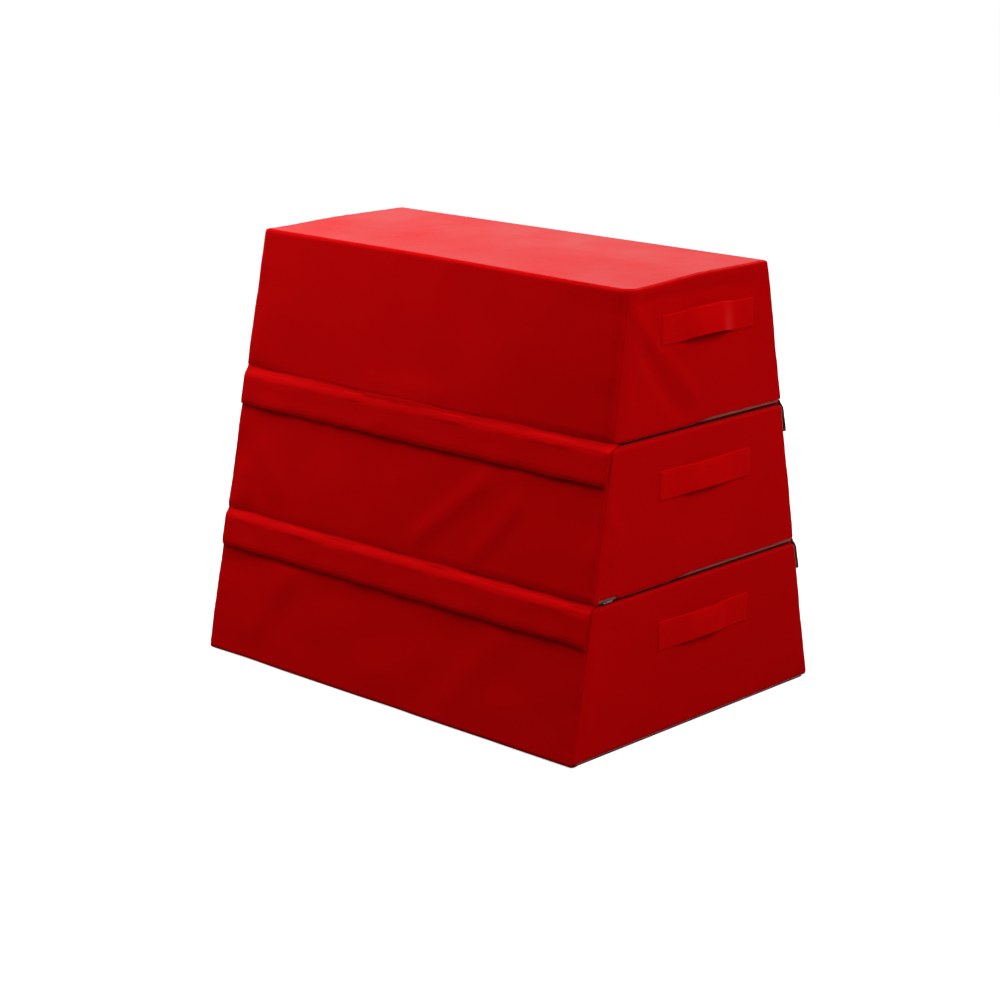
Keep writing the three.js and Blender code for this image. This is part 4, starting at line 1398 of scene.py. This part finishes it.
def zip_pull(section, material):
    """The pull: a bar through the bail, two arms, and a tongue with a raised panel."""
    lowest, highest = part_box(f"{section}_zip_pull")
    slider_low, slider_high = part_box(f"{section}_zip_slider")
    reach = 1 if (lowest.y + highest.y) > (slider_low.y + slider_high.y) else -1
    middle, centre, half = ZIP_WIDTH / 2, 3.4 * MM, 0.8 * MM
    bar = []
    for across in (-3.2, -2.9, 2.9, 3.2):
        radius = half * (0.7 if abs(across) > 3 else 1.0)
        ring = []
        for k in range(12):
            turn = k * math.pi / 6
            ring.append((middle + across * MM, radius * math.cos(turn), centre + radius * math.sin(turn)))
        bar.append(ring)
    arm = [(-0.85, 0), (0.85, 0), (0.85, 6.2), (-0.85, 6.2)]
    arms = []
    for offset in (-2.3, 2.3):
        arms.append([(middle + (offset + x) * MM, reach * y * MM) for x, y in arm][::reach])
    tongue = []
    for k in range(24):
        turn = 2 * math.pi * k / 24
        x = 3.15 * math.copysign(abs(math.cos(turn)) ** 0.5, math.cos(turn))
        y = PULL_MIDDLE + 8.2 * math.copysign(abs(math.sin(turn)) ** 0.6, math.sin(turn))
        tongue.append((middle + x * MM, reach * y * MM))
    tongue = tongue[::reach]
    centre_y = reach * PULL_MIDDLE * MM
    inlay = [(middle + (x - middle) * 0.62, centre_y + (y - centre_y) * 0.72) for x, y in tongue]
    parts = [np.array(bar)] + [plate(shape, centre - half, centre + half, 0.2 * MM) for shape in arms]
    parts += [plate(tongue, centre - half, centre + half * 0.9, 0.3 * MM),
              plate(inlay, centre - half * 0.5, centre + half * 1.15, 0.25 * MM)]
    points, faces = joined(parts)
    points, side = on_slider(section, points)
    faces = faces if side > 0 else [face[::-1] for face in faces]
    piece = make_mesh(f"{section}_zip_pull_tab", points, faces, sharp=35)
    dress(piece, material, "zip_metal", f"{section}_zip_pull")
    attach(piece, f"{section}_zip_pull")


# Stage

CAMERA_AT = Vector((3.2951, -3.5877, 1.6656))
CAMERA_BACK = Vector((0.65418, -0.71013, 0.26031))
CAMERA_UP = Vector((-0.18282, 0.18550, 0.96549))
CAMERA_SHIFT = (-0.0012, 0.0015)
SENSOR = 36.0
LIT = (0.0, 0.0, 0.4)
LIGHT_SIZE = 2.2
WHITE = (1.0, 1.0, 1.0, 1.0)


def build_camera(lens):
    """A camera at the photograph's viewing angle."""
    data = bpy.data.cameras.new("camera")
    data.lens, data.sensor_width = lens, SENSOR
    data.shift_x, data.shift_y = CAMERA_SHIFT
    data.clip_start, data.clip_end = 0.1, 300.0
    camera = bpy.data.objects.new("camera", data)
    back = CAMERA_BACK.normalized()
    right = CAMERA_UP.cross(back).normalized()
    up = back.cross(right)
    camera.matrix_world = Matrix.Translation(CAMERA_AT) @ Matrix((right, up, back)).transposed().to_4x4()
    bpy.context.scene.collection.objects.link(camera)
    bpy.context.scene.camera = camera


def soft_light(name, place, power):
    """A large square light that looks at the box."""
    data = bpy.data.lights.new(name, "AREA")
    data.shape, data.size, data.size_y = "RECTANGLE", LIGHT_SIZE, LIGHT_SIZE
    data.energy = power
    light = bpy.data.objects.new(name, data)
    light.location = place
    light.rotation_euler = (Vector(LIT) - Vector(place)).to_track_quat("-Z", "Y").to_euler()
    bpy.context.scene.collection.objects.link(light)


def seen_directly(tree):
    """1 for what the camera, a mirror or glass shows, and 0 for light on the object."""
    path = put(tree, "ShaderNodeLightPath", {}).outputs
    shown = maths(tree, "MAXIMUM", path["Is Camera Ray"], path["Is Glossy Ray"])
    return maths(tree, "MAXIMUM", shown, path["Is Transmission Ray"])


def build_world(ambient):
    """Even light all round, which the camera sees as white."""
    world = bpy.data.worlds.new("studio")
    world.use_nodes = True
    tree = world.node_tree
    tree.nodes.clear()
    around = put(tree, "ShaderNodeBackground", {"Color": WHITE, "Strength": ambient})
    behind = put(tree, "ShaderNodeBackground", {"Color": WHITE, "Strength": 1.0})
    seen = seen_directly(tree)
    chosen = put(tree, "ShaderNodeMixShader", {0: seen, 1: around.outputs[0], 2: behind.outputs[0]})
    put(tree, "ShaderNodeOutputWorld", {"Surface": chosen.outputs[0]})
    bpy.context.scene.world = world


def build_floor():
    """A wide pale floor that shows white to the camera and keeps the box's shadow."""
    half, level = 60.0, -0.5 * MM
    corners = [(-half, -half, level), (half, -half, level), (half, half, level), (-half, half, level)]
    floor = make_mesh("floor", corners, [[0, 1, 2, 3]])
    material = bpy.data.materials.new("floor_white")
    material.use_nodes = True
    tree = material.node_tree
    tree.nodes.clear()
    grey = put(tree, "ShaderNodeBsdfDiffuse", {"Color": (0.22, 0.22, 0.22, 1.0)})
    pale = put(tree, "ShaderNodeBsdfDiffuse", {"Color": (0.8, 0.8, 0.8, 1.0)})
    place = put(tree, "ShaderNodeTexCoord", {}).outputs["Object"]
    away = put(tree, "ShaderNodeVectorMath", {0: place}, operation="LENGTH").outputs["Value"]
    lift = ramp(tree, away, 0.72, 1.0, 0.9, 2.2)
    glow = put(tree, "ShaderNodeEmission", {"Color": WHITE, "Strength": lift})
    shown = put(tree, "ShaderNodeAddShader", {0: pale.outputs[0], 1: glow.outputs[0]})
    seen = seen_directly(tree)
    chosen = put(tree, "ShaderNodeMixShader", {0: seen, 1: grey.outputs[0], 2: shown.outputs[0]})
    put(tree, "ShaderNodeOutputMaterial", {"Surface": chosen.outputs[0]})
    floor.data.materials.append(material)


# Operators

class VAULT_OT_stage(bpy.types.Operator):
    """Set up the camera, lights, background and floor"""

    bl_idname = "vault.stage"
    bl_label = "Stage"

    def execute(self, context):
        stage = settings().stage
        build_camera(stage.lens)
        build_world(stage.ambient)
        build_floor()
        soft_light("overhead", (-0.9, -0.7, 3.4), stage.overhead)
        soft_light("front_left", (-3.6, -1.3, 2.0), stage.front)
        soft_light("right_end", (3.8, -0.5, 3.2), stage.end)
        soft_light("rear", (0.8, 3.8, 2.5), stage.rear)
        context.scene.view_settings.view_transform = "Standard"
        return {"FINISHED"}


class VAULT_OT_foam(bpy.types.Operator):
    """Make the foam block of each section"""

    bl_idname = "vault.foam"
    bl_label = "Foam blocks"

    def execute(self, context):
        material = cellular_foam("cut_foam", rgba(settings().trim.foam))
        for section in SECTIONS:
            foam_block(section, material)
        return {"FINISHED"}


class VAULT_OT_covers(bpy.types.Operator):
    """Make the cover wraps and end panels"""

    bl_idname = "vault.covers"
    bl_label = "Covers"

    def execute(self, context):
        cover = settings().cover
        material = coated_cloth("cover_cloth", rgba(cover.colour), cover.roughness, cover.weave, 0.2)
        for section in SECTIONS:
            cover_wrap(section, material, cover)
            for end in ENDS:
                end_panel(section, end, material, cover)
        return {"FINISHED"}


class VAULT_OT_bases(bpy.types.Operator):
    """Make the anti-slip base cloths"""

    bl_idname = "vault.bases"
    bl_label = "Base cloths"

    def execute(self, context):
        material = woven("base_cloth_weave", rgba(settings().trim.base), 2.4 * MM, 0.4 * MM)
        for section in SECTIONS:
            base_cloth(section, material)
        return {"FINISHED"}


class VAULT_OT_zips(bpy.types.Operator):
    """Make the zip tapes and their coils"""

    bl_idname = "vault.zips"
    bl_label = "Zips"

    def execute(self, context):
        trim = settings().trim
        for half, colour in (("cover", trim.zip_tape), ("base", trim.zip_base)):
            tape = woven(f"zip_{half}_tape_weave", rgba(colour), 0.9 * MM, 0.15 * MM)
            coil = spun_thread(f"zip_{half}_coil_nylon", rgba(trim.zip_tape))
            for section in SECTIONS:
                zip_half(section, half, tape, coil, trim.tooth)
        return {"FINISHED"}


class VAULT_OT_sliders(bpy.types.Operator):
    """Make the zip sliders and pulls"""

    bl_idname = "vault.sliders"
    bl_label = "Zip sliders"

    def execute(self, context):
        metal = dull_metal("zip_nickel", rgba(settings().trim.metal))
        for section in SECTIONS:
            zip_slider(section, metal)
            zip_pull(section, metal)
        return {"FINISHED"}


class VAULT_OT_flaps(bpy.types.Operator):
    """Make the flaps and their stitching"""

    bl_idname = "vault.flaps"
    bl_label = "Flaps"

    def execute(self, context):
        group, cover = settings().flap, settings().cover
        cloth = coated_cloth("flap_cloth", rgba(group.colour), cover.roughness, cover.weave, 0.3, 0.06)
        thread = spun_thread("flap_thread", shade(rgba(group.colour), 0.85))
        # A dark cloth for the rear flaps' end edges, as painted shade
        end_shade = woven("flap_end_painted_shade", rgba(settings().trim.hook_loop), 0.7 * MM, 0.1 * MM)
        for section in SECTIONS[1:]:
            for face in FACES:
                flap(section, face, cloth, end_shade, group)
                flap_stitching(section, face, thread, settings().handle.stitch)
        return {"FINISHED"}


class VAULT_OT_tapes(bpy.types.Operator):
    """Make the hook and loop tapes behind the flaps"""

    bl_idname = "vault.tapes"
    bl_label = "Hook and loop tapes"

    def execute(self, context):
        colour = rgba(settings().trim.hook_loop)
        hooks = pile("hook_pile", colour, 900.0, 0.5 * MM, 0.8)
        loops = pile("loop_pile", shade(colour, 1.2), 500.0, 0.6 * MM)
        for below, section in zip(SECTIONS, SECTIONS[1:]):
            foot = FOOT[section]
            for face, side in FACES.items():
                flap_body = f"{section}_flap_{face}"
                grip_tape(f"{section}_hook_tape_{face}", flap_body, "hook_tape", hooks, side, foot)
                grip_tape(f"{below}_loop_tape_{face}", f"{below}_section", "loop_tape", loops, side, foot)
        return {"FINISHED"}


class VAULT_OT_handles(bpy.types.Operator):
    """Make the strap handles and their stitching"""

    bl_idname = "vault.handles"
    bl_label = "Handles"

    def execute(self, context):
        group, cover = settings().handle, settings().cover
        dull = cover.roughness + 0.08
        cloth = coated_cloth("strap_cloth", rgba(group.colour), dull, 0.8 * MM, 0.3, 0.012)
        thread = spun_thread("strap_thread", shade(rgba(group.colour), 0.85))
        for section in SECTIONS:
            for end in ENDS:
                handle(section, end, cloth, group)
                tab_stitching(section, end, thread, group.stitch)
        return {"FINISHED"}


class VAULT_PT_build(bpy.types.Panel):
    """Builds the vaulting box piece by piece"""

    bl_idname = "VAULT_PT_build"
    bl_label = "Vaulting box"
    bl_space_type = "VIEW_3D"
    bl_region_type = "UI"
    bl_category = "Vaulting box"

    def draw(self, context):
        for operator in OPERATORS:
            self.layout.operator(operator.bl_idname)
        box = context.scene.vaulting_box
        for group in (box.cover, box.flap, box.handle, box.trim, box.stage):
            column = self.layout.box().column()
            for name in group.__annotations__:
                column.prop(group, name)


GROUPS = (CoverSettings, FlapSettings, HandleSettings, TrimSettings, StageSettings, BoxSettings)
OPERATORS = (
    VAULT_OT_stage, VAULT_OT_foam, VAULT_OT_covers, VAULT_OT_bases, VAULT_OT_zips, VAULT_OT_sliders,
    VAULT_OT_flaps, VAULT_OT_tapes, VAULT_OT_handles,
)


def register():
    for item in (*GROUPS, *OPERATORS, VAULT_PT_build):
        bpy.utils.register_class(item)
    bpy.types.Scene.vaulting_box = PointerProperty(type=BoxSettings)


def unregister():
    del bpy.types.Scene.vaulting_box
    for item in reversed((*GROUPS, *OPERATORS, VAULT_PT_build)):
        bpy.utils.unregister_class(item)


def main():
    register()
    bpy.ops.vault.stage()
    bpy.ops.vault.foam()
    bpy.ops.vault.covers()
    bpy.ops.vault.bases()
    bpy.ops.vault.zips()
    bpy.ops.vault.sliders()
    bpy.ops.vault.flaps()
    bpy.ops.vault.tapes()
    bpy.ops.vault.handles()


if __name__ == "__main__":
    main()
